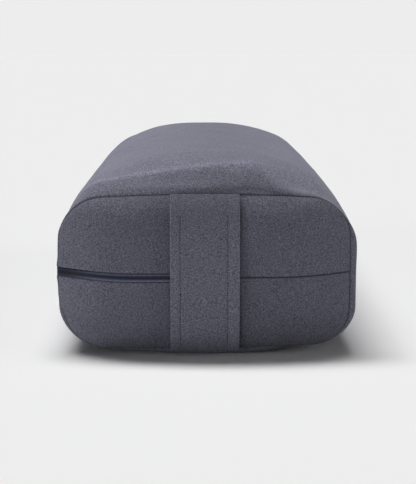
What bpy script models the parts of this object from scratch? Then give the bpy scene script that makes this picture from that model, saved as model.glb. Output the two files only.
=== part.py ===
# Yoga bolster: a foam core and batting in a sewn liner, in a zipped cover with a carrying strap at each end.
# Sizes are in metres. X runs across, Y along the length with the front end at -Y, and Z up from the floor.
# Soft layers follow one another inwards: each is the cover's shape set in by its depth.

import math

import bmesh
import bpy

# Cushion, measured over the cover
OVERALL_LENGTH = 0.660
SEAM_WIDTH = 0.2966
SEAM_HEIGHT = 0.1532
END_CROWN = 0.014
END_CROWN_POWER = 5.0
END_BOW = 0.0133
END_BOW_POWER = 2.6
TOP_ARCH = 0.0076
TOP_DOME = 0.0361
TOP_DOME_POWER = 2.4
TOP_DOME_RUN = 0.060
LENGTH_CROWN = 0.0039
RIGHT_SWELL = 0.0066
LEFT_SWELL = 0.0040
SWELL_POWER = 2.65
SWELL_RUN = 0.006
LEFT_CORNER_RUN = 0.020
LEFT_BOW = 0.0030
RIGHT_BOW = 0.0014
LOW_TILT = 0.0017
BASE_LIFT = 0.0073
BASE_FLAT_DEPTH = 0.0005
BASE_SWELL_POWER = 3.3

# Corner radii of the end seam and of the body behind it: top left, top right, low right, low left
SEAM_RADII = (0.0400, 0.0380, 0.0380, 0.0425)
BODY_RADII = (0.0435, 0.0490, 0.0400, 0.0390)

# Shoulders of the top: a low wall over the seam, then a slope up to a crest that climbs to the right in front
WALL_HEIGHT = 0.007
WALL_RUN = 0.004
SHOULDER_RUN = 0.020
CREST_ROUNDING = 0.0025
CREST_MIDDLE = 0.0268
CREST_TILT = 0.12
CREST_SHARE = 0.94
CREST_JOIN = 0.002
CREST_FADE = 0.75
CREST_FADE_LOW = 0.045
CREST_FADE_HIGH = 0.100
REAR_CREST_SHARE = 0.78

# The left seam stays out on the silhouette down to the lower corner. The belly hangs lowest in the middle,
# and towards both ends it is tucked up on the right.
HUG_LOW = -0.048
HUG_HIGH = -0.022
BELLY_LIFT = 0.0028
BELLY_HALF_WIDTH = 0.040
BELLY_RUN = 0.040
TUCK_SHARE = 0.85
TUCK_FROM = 0.055
TUCK_FULL = 0.095

# Front end: its fullness on either side of the strap, and the climb of its zip and mid seam towards the sides
LEFT_BULGE = 0.0040
RIGHT_BULGE = 0.0012
BULGE_X = 0.098
BULGE_RUN = 0.060
ZIP_RISE = 0.0024
ZIP_RISE_FROM = 0.073
MID_SEAM_RISE = 0.0017
MID_SEAM_RISE_FROM = 0.083
RISE_HEIGHT = 0.033
RISE_RUN = 0.010

# Layers
COVER_WALL = 0.0015
LINER_WALL = 0.0008
BATTING_WALL = 0.012
CORE_END_CLEARANCE = 0.002
GAP = 0.0003

# Zip: it starts under the front strap, runs round the front left corner and along the left side
ZIP_OPENING = 0.0084
ZIP_START_BEHIND_STRAP = 0.015
ZIP_STEP = 0.001
TAPE_SETBACK = 0.0001
TAPE_THICKNESS = 0.0005
COIL_WIDTH = 0.0019
COIL_PROUD = 0.0004
COIL_SPLIT = 0.0009
COIL_SHOULDER = 0.25
COIL_EDGE_HEIGHT = 0.4
STOP_LENGTH = 0.003
STOP_PROUD = 0.0008

# Slider and pull tab
SLIDER_LENGTH = 0.012
SLIDER_HEIGHT = 0.0080
SLIDER_PLATE = 0.0010
SLIDER_BACK_LENGTH = 0.009
SLIDER_BACK_HEIGHT = 0.0070
SLIDER_BACK_PLATE = 0.0006
SLIDER_CLEARANCE = 0.0002
SLIDER_WEB_LENGTH = 0.003
SLIDER_PARK_FROM_SEAM = 0.030
BRIDGE_LENGTH = 0.0080
BRIDGE_WIDTH = 0.0016
BRIDGE_BAR = 0.0010
BRIDGE_POST = 0.0011
PULL_LENGTH = 0.024
PULL_WIDTH = 0.0062
PULL_THICKNESS = 0.0011
PULL_PIN = 0.0010
PULL_WINDOW_CLEARANCE = 0.0006

# Carrying straps
STRAP_WIDTH = 0.071
FRONT_STRAP_OFFSET = -0.002
STRAP_THICKNESS = 0.0036
STRAP_STANDOFF = 0.0032
STRAP_EDGE_CHAMFER = 0.0010
STRAP_GRIP_HEIGHT = 0.092
STRAP_END_INSET = 0.0010

# Mesh steps; the wrap has a ring at each of these distances from its seam
SEAM_DISTANCES = (0.0, 0.003, 0.008, 0.019, 0.027, 0.040, 0.058)
SIDE_STEPS = 2
CORNER_STEPS = 4
TOP_STEPS = 8
BASE_STEPS = 6
END_ROWS = 5
CORE_END_RINGS = 4
GRIP_STEPS = 8
STRAP_END_STEPS = 6
SLOPE_STEP = 0.0005
SHARP_ANGLE = 35

# Worked out from the sizes above
HALF_WIDTH = SEAM_WIDTH / 2
HALF_HEIGHT = SEAM_HEIGHT / 2
MID_Z = BASE_LIFT + HALF_HEIGHT
HALF_SPLIT = GAP / 2
HALF_OPENING = ZIP_OPENING / 2
LINER_DEPTH = COVER_WALL + GAP
BATTING_DEPTH = LINER_DEPTH + LINER_WALL + GAP
CORE_DEPTH = BATTING_DEPTH + BATTING_WALL + GAP
ZIP_START_X = FRONT_STRAP_OFFSET - STRAP_WIDTH / 2 + ZIP_START_BEHIND_STRAP

# Colours (linear), roughness, metallic
SUEDE = (0.085, 0.085, 0.115)
NAVY = (0.010, 0.013, 0.035)
COTTON = (0.62, 0.60, 0.55)
BATTING_WHITE = (0.80, 0.79, 0.76)
FOAM = (0.42, 0.47, 0.50)


def clear_scene():
    for item in list(bpy.data.objects):
        bpy.data.objects.remove(item)


def material(name, colour, roughness, metallic=0.0):
    made = bpy.data.materials.new(name)
    made.use_nodes = True
    shader = made.node_tree.nodes["Principled BSDF"]
    shader.inputs["Base Color"].default_value = (*colour, 1.0)
    shader.inputs["Roughness"].default_value = roughness
    shader.inputs["Metallic"].default_value = metallic
    return made


def add_object(name, shape, finish, origin=(0.0, 0.0, 0.0)):
    """Turn a bmesh in world coordinates into an object with the given origin, its faces pointing out."""
    bmesh.ops.recalc_face_normals(shape, faces=shape.faces[:])
    bmesh.ops.translate(shape, verts=shape.verts[:], vec=[-value for value in origin])
    mesh = bpy.data.meshes.new(name)
    shape.to_mesh(mesh)
    shape.free()
    mesh.shade_smooth()
    mesh.set_sharp_from_angle(angle=math.radians(SHARP_ANGLE))
    mesh.materials.append(finish)
    made = bpy.data.objects.new(name, mesh)
    made.location = origin
    bpy.context.scene.collection.objects.link(made)
    return made


def steps(first, last, count):
    """Evenly spaced values from first up to, but not including, last."""
    return [first + (last - first) * index / count for index in range(count)]


def rise(distance, run):
    """0 at a seam, easing to 1 once the cloth is a run away from it."""
    return 1 - (1 - min(distance / run, 1.0)) ** 2


# Cross-section and length of the cushion

def outline(depth, radii):
    """Section stations (x, z) from the upper zip lip over the top and round to the lower zip lip."""
    half_x = HALF_WIDTH - depth
    half_z = HALF_HEIGHT - depth
    top_left, top_right, low_right, low_left = radii
    points = [(-half_x, z) for z in steps(HALF_OPENING, HALF_HEIGHT - top_left, SIDE_STEPS)]
    points += corner(-1, 1, top_left, depth, 180)
    points += [(x, half_z) for x in steps(top_left - HALF_WIDTH, HALF_WIDTH - top_right, TOP_STEPS)]
    points += corner(1, 1, top_right, depth, 90)
    points += [(half_x, z) for z in steps(HALF_HEIGHT - top_right, low_right - HALF_HEIGHT, 2 * SIDE_STEPS)]
    points += corner(1, -1, low_right, depth, 0)
    points += [(x, -half_z) for x in steps(HALF_WIDTH - low_right, low_left - HALF_WIDTH, BASE_STEPS)]
    points += corner(-1, -1, low_left, depth, -90)
    points += [(-half_x, z) for z in steps(low_left - HALF_HEIGHT, -HALF_OPENING, SIDE_STEPS)]
    points.append((-half_x, -HALF_OPENING))
    return points


def corner(side, up, radius, depth, first):
    """Stations round one corner of a layer, a quarter turn clockwise from the first angle."""
    centre_x = side * (HALF_WIDTH - radius)
    centre_z = up * (HALF_HEIGHT - radius)
    turns = [math.radians(angle) for angle in steps(first, first - 90, CORNER_STEPS)]
    return [(centre_x + (radius - depth) * math.cos(turn), centre_z + (radius - depth) * math.sin(turn))
            for turn in turns]


def seam_reach(x):
    """Distance from the middle of the length to the perimeter seam, which bows out between its two sides."""
    across = min(abs(x) / HALF_WIDTH, 1.0)
    return OVERALL_LENGTH / 2 - END_CROWN - GAP - END_BOW * across ** END_BOW_POWER


def half_stations():
    """Shares of the half length at which the wrap has a ring, from the middle out to the seam."""
    reach = seam_reach(0)
    dome_end = SHOULDER_RUN + TOP_DOME_RUN
    from_seam = [reach, (reach + dome_end) / 2, dome_end] + sorted(SEAM_DISTANCES, reverse=True)
    return [1 - distance / reach for distance in from_seam]


def all_stations():
    outward = half_stations()
    return [-share for share in reversed(outward[1:])] + outward


def arch_lift(x, z):
    """How far the arch of the top seam raises a point of a section."""
    across = min(abs(x) / HALF_WIDTH, 1.0)
    return TOP_ARCH * (1 - across ** TOP_DOME_POWER) * (max(z, 0.0) / HALF_HEIGHT) ** 2


def ease(value, low, high):
    """0 below low, 1 above high and a smooth turn between them."""
    share = min(max((value - low) / (high - low), 0.0), 1.0)
    return share * share * (3 - 2 * share)


def bell(distance, run):
    return math.exp(-(distance / run) ** 2)


def lesser(first, second, rounding):
    """The smaller of two values, rounded where they cross."""
    return (first + second - math.hypot(first - second, rounding)) / 2


def crest_height(x, full, share):
    """Height over the seam of the crest behind it, where the top's full height is given."""
    if share > 0:
        return REAR_CREST_SHARE * full
    crest = lesser(CREST_MIDDLE + CREST_TILT * x, CREST_SHARE * full, CREST_JOIN)
    return max(crest, 0.0) * (1 - CREST_FADE * ease(x, CREST_FADE_LOW, CREST_FADE_HIGH))


def dome_height(x, from_seam, share):
    """Height of the top over the seam: wall, slope and crest, then a gentle rise to the full height."""
    full = TOP_DOME * (1 - min(abs(x) / HALF_WIDTH, 1.0) ** TOP_DOME_POWER)
    crest = crest_height(x, full, share)
    wall = WALL_HEIGHT * crest / (CREST_SHARE * TOP_DOME)
    over_wall = crest - wall
    low = wall * math.sqrt(1 - (1 - min(from_seam / WALL_RUN, 1.0)) ** 2)
    slope = lesser(over_wall * from_seam / SHOULDER_RUN, over_wall, CREST_ROUNDING)
    slope -= lesser(0.0, over_wall, CREST_ROUNDING)
    rest = (full - crest) * rise(max(from_seam - SHOULDER_RUN, 0.0), TOP_DOME_RUN)
    return low + slope + rest + LENGTH_CROWN * (1 - share ** 2) * full / TOP_DOME


def left_hug(x, z):
    """How far the left seam stands out beyond its rounded rectangle."""
    if x > 0:
        return 0.0
    return LEFT_SWELL * ease(z, HUG_LOW, HUG_HIGH) * min(abs(x) / HALF_WIDTH, 1.0) ** SWELL_POWER


def side_bow(x, z):
    """How far the two sides bow out between their corners."""
    across = min(abs(x) / HALF_WIDTH, 1.0)
    bow = -LEFT_BOW if x < 0 else RIGHT_BOW
    return bow * across ** 2 * (1 - min(abs(z) / HALF_HEIGHT, 1.0) ** 2)


def low_tilt(x, z):
    """The bottom seam hangs a little lower on the left than on the right."""
    return LOW_TILT * x / HALF_WIDTH * (min(z, 0.0) / HALF_HEIGHT) ** 2


def mid_rise(x, z):
    """How far the front's zip and mid seam climb towards the two sides."""
    left = ZIP_RISE * ease(-x, ZIP_RISE_FROM, HALF_WIDTH)
    right = MID_SEAM_RISE * ease(x, MID_SEAM_RISE_FROM, HALF_WIDTH)
    beyond_zip = max(abs(z) - HALF_OPENING, 0.0)
    return (left + right) * max(1 - beyond_zip / RISE_HEIGHT, 0.0) ** 2


def front_bulge(x, z):
    """The front end's fullness on either side of the strap."""
    height = LEFT_BULGE if x < 0 else RIGHT_BULGE
    share = min(abs(abs(x) - BULGE_X) / BULGE_RUN, 1.0)
    return height * (1 - share ** 2) ** 2 * (1 - min(abs(z) / HALF_HEIGHT, 1.0) ** 3)


def swelling(x, z, share):
    """How far the filling pushes a point of the section outwards, at a share of the half length."""
    from_seam = (1 - abs(share)) * seam_reach(0)
    swell = rise(from_seam, SWELL_RUN)
    across = min(abs(x) / HALF_WIDTH, 1.0)
    out = across ** SWELL_POWER
    move_x = RIGHT_SWELL * swell * out if x > 0 else -max(LEFT_SWELL * swell * out, left_hug(x, z))
    move_x += side_bow(x, z)
    climb = mid_rise(x, z) * bell(from_seam, RISE_RUN) if share < 0 else 0.0
    if z > 0:
        return move_x, climb + dome_height(x, from_seam, share)
    belly = BELLY_LIFT * (1 - bell(x, BELLY_HALF_WIDTH)) * (z / HALF_HEIGHT) ** 2
    end_share = math.exp(-from_seam / BELLY_RUN)
    tucked = 1 - TUCK_SHARE * ease(x, TUCK_FROM, TUCK_FULL) * end_share
    drop = (BASE_LIFT + BASE_FLAT_DEPTH) * (1 - across ** BASE_SWELL_POWER) * tucked - belly * end_share
    return move_x, climb + low_tilt(x, z) * (1 - swell) - drop * swell


def wrap_ring(depth, share):
    """Points of one layer's wrap surface at a share of the half length; its underside is cut flat to lie."""
    from_seam = (1 - abs(share)) * seam_reach(0)
    ring = []
    own = zip(outline(depth, SEAM_RADII), outline(depth, BODY_RADII))
    cover = zip(outline(0, SEAM_RADII), outline(0, BODY_RADII))
    for (at_seam, in_body), (cover_seam, cover_body) in zip(own, cover):
        rounding = rise(from_seam, LEFT_CORNER_RUN if cover_seam[0] < 0 else SWELL_RUN)
        x, z = mix(at_seam, in_body, rounding)
        cover_x, cover_z = mix(cover_seam, cover_body, rounding)
        move_x, move_z = swelling(cover_x, cover_z, share)
        y = share * (seam_reach(cover_x) - depth)
        ring.append((x + move_x, y, max(MID_Z + z + arch_lift(x, z) + move_z, depth)))
    return ring


def mix(first, second, share):
    return tuple(a + (b - a) * share for a, b in zip(first, second))


# Sheets of cloth as closed solids

def add_grid(shape, grid):
    return [[shape.verts.new(point) for point in line] for line in grid]


def add_strip(shape, first, second, closed=False):
    """Triangles between two lines of vertices with the same count; their diagonals all run the same way."""
    last = len(first) if closed else len(first) - 1
    for index in range(last):
        after = (index + 1) % len(first)
        shape.faces.new((first[index], first[after], second[after]))
        shape.faces.new((first[index], second[after], second[index]))


def sheet_solid(outer_grid, inner_grid, closed=False):
    """A sheet with an outer and an inner face and closed edges; closed joins each line's ends into a loop."""
    shape = bmesh.new()
    outer = add_grid(shape, outer_grid)
    inner = add_grid(shape, inner_grid)
    for index in range(len(outer) - 1):
        add_strip(shape, outer[index], outer[index + 1], closed)
        add_strip(shape, inner[index], inner[index + 1], closed)
    add_strip(shape, outer[0], inner[0], closed)
    add_strip(shape, outer[-1], inner[-1], closed)
    if not closed:
        add_strip(shape, [line[0] for line in outer], [line[0] for line in inner])
        add_strip(shape, [line[-1] for line in outer], [line[-1] for line in inner])
    return shape


def wrap_solid(depth, wall, closed):
    outer = [wrap_ring(depth, share) for share in all_stations()]
    inner = [wrap_ring(depth + wall, share) for share in all_stations()]
    return sheet_solid(outer, inner, closed)


# End panels

def seam_radius(x, z):
    """Radius of the seam's corner in the quarter that (x, z) lies in."""
    top_left, top_right, low_right, low_left = SEAM_RADII
    if z > 0:
        return top_left if x < 0 else top_right
    return low_left if x < 0 else low_right


def border_share(x, z, depth):
    """How far (x, z) lies from the panel's centre towards its border: 0 at the centre and 1 on the border."""
    across = abs(x)
    up = abs(z)
    half_x = HALF_WIDTH - depth
    half_z = HALF_HEIGHT - depth
    radius = seam_radius(x, z) - depth
    flat_x = half_x - radius
    flat_z = half_z - radius
    if up * half_x <= across * flat_z:
        return across / half_x
    if across * half_z <= up * flat_x:
        return up / half_z
    dot = flat_x * across + flat_z * up
    size = across ** 2 + up ** 2
    root = math.sqrt(max(dot ** 2 - size * (flat_x ** 2 + flat_z ** 2 - radius ** 2), 0.0))
    return size / (dot + root)


def end_reach(x, z, depth, inset):
    """Distance from the middle of the length to an end layer at (x, z); inset pulls in all but its border."""
    crown = END_CROWN * (1 - min(border_share(x, z, depth), 1.0) ** END_CROWN_POWER)
    return seam_reach(x) + GAP - (depth - inset) + max(crown - inset, 0.0)


def end_columns(depth):
    """Places x of the columns of an end layer, left to right."""
    top_left, top_right, _, _ = SEAM_RADII
    flat = steps(top_left - HALF_WIDTH, HALF_WIDTH - top_right, TOP_STEPS)
    flat += [ZIP_START_X, ZIP_START_X + ZIP_STEP]
    columns = [x for x, _ in corner(-1, 1, top_left, depth, 180)] + sorted(flat)
    return columns + [x for x, _ in corner(1, 1, top_right, depth, 90)] + [HALF_WIDTH - depth]


def border_height(x, half, depth):
    """Height of a layer's border over mid height at x, on its upper (half 1) or lower (half -1) side."""
    radius = seam_radius(x, half)
    beyond = max(abs(x) - (HALF_WIDTH - radius), 0.0)
    return HALF_HEIGHT - radius + math.sqrt(max((radius - depth) ** 2 - beyond ** 2, 0.0))


def end_grid(side, half, depth, inset, split):
    """Points of half an end layer, upper (half 1) or lower (half -1), in columns that all run upwards."""
    rows = [math.sin(math.radians(90 * row / END_ROWS)) for row in range(END_ROWS + 1)]
    grid = []
    for x in end_columns(depth):
        border = border_height(x, half, depth)
        edge = split(x)
        heights = sorted(half * (edge + (border - edge) * share) for share in rows)
        grid.append([end_point(side, x, z, depth, inset) for z in heights])
    return grid


def end_point(side, x, z, depth, inset):
    reach = end_reach(x, z, depth, inset)
    height = MID_Z + z + arch_lift(x, z) + low_tilt(x, z)
    if side < 0:
        reach += front_bulge(x, z)
        height += mid_rise(x, z)
    return x - left_hug(x, z) + side_bow(x, z), side * reach, height


def plain_split(x):
    return HALF_SPLIT


def zipped_split(x):
    """Edge of the front halves: set back for the zip up to under the strap, a plain seam from there on."""
    return HALF_OPENING if x <= ZIP_START_X else HALF_SPLIT


def add_end_half(name, side, half, split, finish):
    """Half of a cover end panel, from its split at mid height to the perimeter seam."""
    outer = end_grid(side, half, 0.0, 0.0, split)
    inner = end_grid(side, half, COVER_WALL, COVER_WALL, split)
    return add_object(name, sheet_solid(outer, inner), finish)


ENDS = (("front", -1, zipped_split), ("rear", 1, plain_split))


def add_cover(suede):
    add_object("cover_wrap_panel", wrap_solid(0.0, COVER_WALL, closed=False), suede)
    for end, side, split in ENDS:
        add_end_half(end + "_end_upper_panel", side, 1, split, suede)
        add_end_half(end + "_end_lower_panel", side, -1, split, suede)


def add_liner(cotton):
    add_object("liner_wrap_panel", wrap_solid(LINER_DEPTH, LINER_WALL, closed=True), cotton)
    for end, side, split in ENDS:
        outer = liner_end_grid(side, LINER_DEPTH, 0.0, split)
        inner = liner_end_grid(side, LINER_DEPTH + LINER_WALL, LINER_WALL, split)
        add_object("liner_" + end + "_panel", sheet_solid(outer, inner), cotton)


def liner_end_grid(side, depth, inset, split):
    """An end layer in one piece, with its rows level with those of the cover's two halves."""
    lower = end_grid(side, -1, depth, inset, split)
    upper = end_grid(side, 1, depth, inset, split)
    return [below + above for below, above in zip(lower, upper)]


def add_filling(batting, foam):
    add_object("batting_wrap", wrap_solid(BATTING_DEPTH, BATTING_WALL, closed=True), batting)
    add_object("foam_core", core_solid(), foam)


def core_end_ring(side, share):
    """A ring of the core's end: its last wrap ring drawn in towards the middle, and crowned."""
    crown = max(END_CROWN - CORE_END_CLEARANCE, 0.0) * (1 - share ** END_CROWN_POWER)
    ring = wrap_ring(CORE_DEPTH, side)
    return [(x * share, y + side * crown, MID_Z + (z - MID_Z) * share) for x, y, z in ring]


def core_solid():
    shape = bmesh.new()
    shares = [math.sin(math.radians(90 * ring / CORE_END_RINGS)) for ring in range(1, CORE_END_RINGS)]
    rings = [core_end_ring(-1, share) for share in shares]
    rings += [wrap_ring(CORE_DEPTH, share) for share in all_stations()]
    rings += [core_end_ring(1, share) for share in reversed(shares)]
    lines = add_grid(shape, rings)
    for first, second in zip(lines, lines[1:]):
        add_strip(shape, first, second, closed=True)
    for line in (lines[0], lines[-1]):
        shape.faces.new(line)
    return shape


# Zip

def side_point(share):
    """Point of the cover's left side along the zip."""
    from_seam = (1 - abs(share)) * seam_reach(0)
    climb = mid_rise(-HALF_WIDTH, 0.0) * bell(from_seam, RISE_RUN) if share < 0 else 0.0
    return -HALF_WIDTH - LEFT_SWELL - LEFT_BOW, share * seam_reach(HALF_WIDTH), MID_Z + climb


def zip_path():
    """Points along the middle of the zip, from under the front strap to the rear left seam."""
    columns = [x for x in end_columns(0.0) if x < ZIP_START_X]
    path = [end_point(-1, x, 0.0, 0.0, 0.0) for x in [ZIP_START_X - GAP] + sorted(columns, reverse=True)]
    path += [side_point(share) for share in all_stations()]
    return path


def outward_normals(path):
    """Unit normals of a path, level and pointing away from the cushion."""
    normals = []
    for index in range(len(path)):
        before = path[max(index - 1, 0)]
        after = path[min(index + 1, len(path) - 1)]
        run_x = after[0] - before[0]
        run_y = after[1] - before[1]
        length = math.hypot(run_x, run_y)
        normals.append((-run_y / length, run_x / length))
    return normals


def swept_band(path, section):
    """A closed band with a section of (outwards, height) points, swept along a path."""
    shape = bmesh.new()
    lines = []
    for (x, y, middle), (normal_x, normal_y) in zip(path, outward_normals(path)):
        ring = [(x + normal_x * out, y + normal_y * out, middle + z) for out, z in section]
        lines.append([shape.verts.new(point) for point in ring])
    for first, second in zip(lines, lines[1:]):
        add_strip(shape, first, second, closed=True)
    for line in (lines[0], lines[-1]):
        shape.faces.new(line)
    return shape


def shorten(path, start, end):
    """The path with a length taken off at each end."""
    return cut_start(list(reversed(cut_start(list(reversed(path)), end))), start)


def cut_start(path, length):
    rest = length
    for index in range(len(path) - 1):
        run = math.dist(path[index], path[index + 1])
        if run > rest:
            return [mix(path[index], path[index + 1], rest / run)] + path[index + 1:]
        rest -= run
    return path[-2:]


def coil_section(sign):
    inner = sign * COIL_SPLIT / 2
    outer = sign * (COIL_SPLIT / 2 + COIL_WIDTH)
    slope = sign * COIL_WIDTH * COIL_SHOULDER
    edge = COIL_PROUD * COIL_EDGE_HEIGHT
    back = -(TAPE_SETBACK + TAPE_THICKNESS)
    return [(back, inner), (edge, inner), (COIL_PROUD, inner + slope), (COIL_PROUD, outer - slope),
            (edge, outer), (back, outer)]


def tape_section(sign):
    inner = sign * (COIL_SPLIT / 2 + COIL_WIDTH + GAP)
    outer = sign * (HALF_OPENING - GAP)
    back = -(TAPE_SETBACK + TAPE_THICKNESS)
    return [(back, inner), (-TAPE_SETBACK, inner), (-TAPE_SETBACK, outer), (back, outer)]


def stop_section():
    half = COIL_SPLIT / 2 + COIL_WIDTH
    back = -(TAPE_SETBACK + TAPE_THICKNESS)
    return [(back, -half), (STOP_PROUD, -half), (STOP_PROUD, half), (back, half)]


def add_zip(tape, coil, metal):
    path = zip_path()
    length = sum(math.dist(first, second) for first, second in zip(path, path[1:]))
    coil_path = shorten(path, STOP_LENGTH + GAP, rear_stop_from_seam() + STOP_LENGTH + GAP)
    front_stop = shorten(path, 0.0, length - STOP_LENGTH)
    rear_stop = shorten(path, length - rear_stop_from_seam() - STOP_LENGTH, rear_stop_from_seam())
    for place, sign in (("upper", 1), ("lower", -1)):
        add_object("zip_" + place + "_tape", swept_band(shorten(path, 0.0, GAP), tape_section(sign)), tape)
        add_object("zip_" + place + "_coil", swept_band(coil_path, coil_section(sign)), coil)
    add_object("zip_front_stop", swept_band(front_stop, stop_section()), metal)
    add_object("zip_rear_stop", swept_band(rear_stop, stop_section()), metal)


def rear_stop_from_seam():
    """Distance along the side from the rear seam to the near face of the rear stop."""
    return SLIDER_PARK_FROM_SEAM - SLIDER_LENGTH / 2 - GAP - STOP_LENGTH


# Slider and pull tab. Outwards is -X here, and depth is measured inwards from the cover.

def add_box(name, low, high, finish, origin=(0.0, 0.0, 0.0)):
    shape = bmesh.new()
    bmesh.ops.create_cube(shape, size=1.0)
    size = [b - a for a, b in zip(low, high)]
    centre = [(a + b) / 2 for a, b in zip(low, high)]
    bmesh.ops.scale(shape, verts=shape.verts[:], vec=size)
    bmesh.ops.translate(shape, verts=shape.verts[:], vec=centre)
    return add_object(name, shape, finish, origin)


def combine(target, helper, operation):
    """Join or cut with a helper body, which stays out of the model."""
    step = target.modifiers.new(helper.name, "BOOLEAN")
    step.operation = operation
    step.solver = "EXACT"
    step.object = helper
    helper.hide_render = True
    helper.display_type = "WIRE"


def slider_place():
    """Centre of the parked slider on the cover's surface."""
    x, _, _ = side_point(0.0)
    return x, seam_reach(HALF_WIDTH) - SLIDER_PARK_FROM_SEAM


def plate_underside():
    return COIL_PROUD + SLIDER_CLEARANCE


def pin_half():
    return max(PULL_THICKNESS, PULL_PIN) / 2


def pin_height():
    """Height of the pull tab's pin over the cover: it lies just clear of the slider's front plate."""
    return plate_underside() + SLIDER_PLATE + GAP + pin_half()


def add_slider(metal):
    surface, centre_y = slider_place()
    web_half = COIL_SPLIT / 2 - SLIDER_CLEARANCE
    under = plate_underside()
    over = under + SLIDER_PLATE
    back_face = TAPE_SETBACK + TAPE_THICKNESS + SLIDER_CLEARANCE
    bar_under = pin_height() + pin_half() + GAP
    bar_over = bar_under + BRIDGE_BAR
    origin = (surface, centre_y, MID_Z)

    def block(name, out_low, out_high, half_y, half_z, y_shift=0.0):
        low = (surface - out_high, centre_y + y_shift - half_y, MID_Z - half_z)
        high = (surface - out_low, centre_y + y_shift + half_y, MID_Z + half_z)
        return add_box(name, low, high, metal, origin)

    slider = block("zip_slider", under, over, SLIDER_LENGTH / 2, SLIDER_HEIGHT / 2)
    sunk = SLIDER_BACK_PLATE / 2
    web = block("slider_web", -back_face - sunk, under + sunk, SLIDER_WEB_LENGTH / 2, web_half)
    back = block("slider_back", -back_face - SLIDER_BACK_PLATE, -back_face, SLIDER_BACK_LENGTH / 2,
                 SLIDER_BACK_HEIGHT / 2)
    post_y = (BRIDGE_LENGTH - BRIDGE_POST) / 2
    front_post = block("bridge_front_post", over - sunk, bar_over, BRIDGE_POST / 2, BRIDGE_WIDTH / 2, -post_y)
    rear_post = block("bridge_rear_post", over - sunk, bar_over, BRIDGE_POST / 2, BRIDGE_WIDTH / 2, post_y)
    bar = block("bridge_bar", bar_under, bar_over, BRIDGE_LENGTH / 2 - BRIDGE_POST / 2, BRIDGE_WIDTH / 2)
    for helper in (web, back, front_post, rear_post, bar):
        combine(slider, helper, "UNION")


def add_pull(metal):
    """Flat tab whose window goes round the bridge; its near edge is the pin that lies in the bridge."""
    surface, centre_y = slider_place()
    axis_x = surface - pin_height()
    origin = (axis_x, centre_y, MID_Z)
    half_thick = PULL_THICKNESS / 2
    bar_reach = math.hypot(pin_half() + GAP + BRIDGE_BAR, BRIDGE_LENGTH / 2)
    window_end = bar_reach + PULL_WINDOW_CLEARANCE
    window_half = BRIDGE_WIDTH / 2 + PULL_WINDOW_CLEARANCE
    tab = add_box("zip_pull_tab", (axis_x - half_thick, centre_y - PULL_LENGTH, MID_Z - PULL_WIDTH / 2),
                  (axis_x + half_thick, centre_y + PULL_PIN / 2, MID_Z + PULL_WIDTH / 2), metal, origin)
    cutter_half = PULL_THICKNESS
    window = add_box("pull_window", (axis_x - cutter_half, centre_y - window_end, MID_Z - window_half),
                     (axis_x + cutter_half, centre_y - PULL_PIN / 2, MID_Z + window_half), metal, origin)
    combine(tab, window, "DIFFERENCE")


# Carrying straps

def strap_back(side, z):
    """Point (y, z) on the back of a strap: sewn down at the seams and loose in between."""
    share = z / HALF_HEIGHT
    loose = GAP + STRAP_STANDOFF * (1 - share ** 2) ** 2
    return side * (end_reach(0.0, z, 0.0, 0.0) + loose), MID_Z + z + arch_lift(0.0, z)


def strap_section():
    """Section (across, outwards) of the strap, with its long edges taken off."""
    half = STRAP_WIDTH / 2
    cut = STRAP_EDGE_CHAMFER
    right = [(half - cut, 0.0), (half, cut), (half, STRAP_THICKNESS - cut), (half - cut, STRAP_THICKNESS)]
    return right + [(-across, out) for across, out in reversed(right)]


def strap_solid(side, middle, low, high, count):
    """A stretch of strap centred on x = middle, between two heights over the end panel's middle."""
    shape = bmesh.new()
    heights = steps(low, high, count) + [high]
    lines = []
    for z in heights:
        y, world_z = strap_back(side, z)
        y_below, z_below = strap_back(side, z - SLOPE_STEP)
        y_above, z_above = strap_back(side, z + SLOPE_STEP)
        length = math.hypot(y_above - y_below, z_above - z_below)
        out_y = side * (z_above - z_below) / length
        out_z = -side * (y_above - y_below) / length
        ring = [(middle + across, y + out_y * out, world_z + out_z * out) for across, out in strap_section()]
        lines.append([shape.verts.new(point) for point in ring])
    for first, second in zip(lines, lines[1:]):
        add_strip(shape, first, second, closed=True)
    for line in (lines[0], lines[-1]):
        shape.faces.new(line)
    return shape


def add_strap(end, side, middle, suede):
    reach = HALF_HEIGHT - STRAP_END_INSET
    grip = STRAP_GRIP_HEIGHT / 2
    grip_y, _ = strap_back(side, 0.0)
    upper = strap_solid(side, middle, grip + GAP, reach, STRAP_END_STEPS)
    lower = strap_solid(side, middle, -reach, -grip - GAP, STRAP_END_STEPS)
    add_object(end + "_strap_upper_end", upper, suede)
    middle_stretch = strap_solid(side, middle, -grip, grip, GRIP_STEPS)
    add_object(end + "_strap_grip", middle_stretch, suede, (middle, grip_y, MID_Z))
    add_object(end + "_strap_lower_end", lower, suede)


def build():
    clear_scene()
    suede = material("suede microfibre", SUEDE, 0.95)
    tape = material("navy zip tape", NAVY, 0.85)
    coil = material("navy nylon coil", NAVY, 0.45)
    metal = material("navy coated zinc", NAVY, 0.35, 0.6)
    add_cover(suede)
    add_liner(material("unbleached cotton", COTTON, 0.9))
    add_filling(material("white batting", BATTING_WHITE, 1.0), material("grey foam", FOAM, 0.95))
    add_zip(tape, coil, metal)
    add_slider(metal)
    add_pull(metal)
    add_strap("front", -1, FRONT_STRAP_OFFSET, suede)
    add_strap("rear", 1, 0.0, suede)


build()
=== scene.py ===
import math

import bmesh
import bpy
import numpy as np
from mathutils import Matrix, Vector, noise


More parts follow.
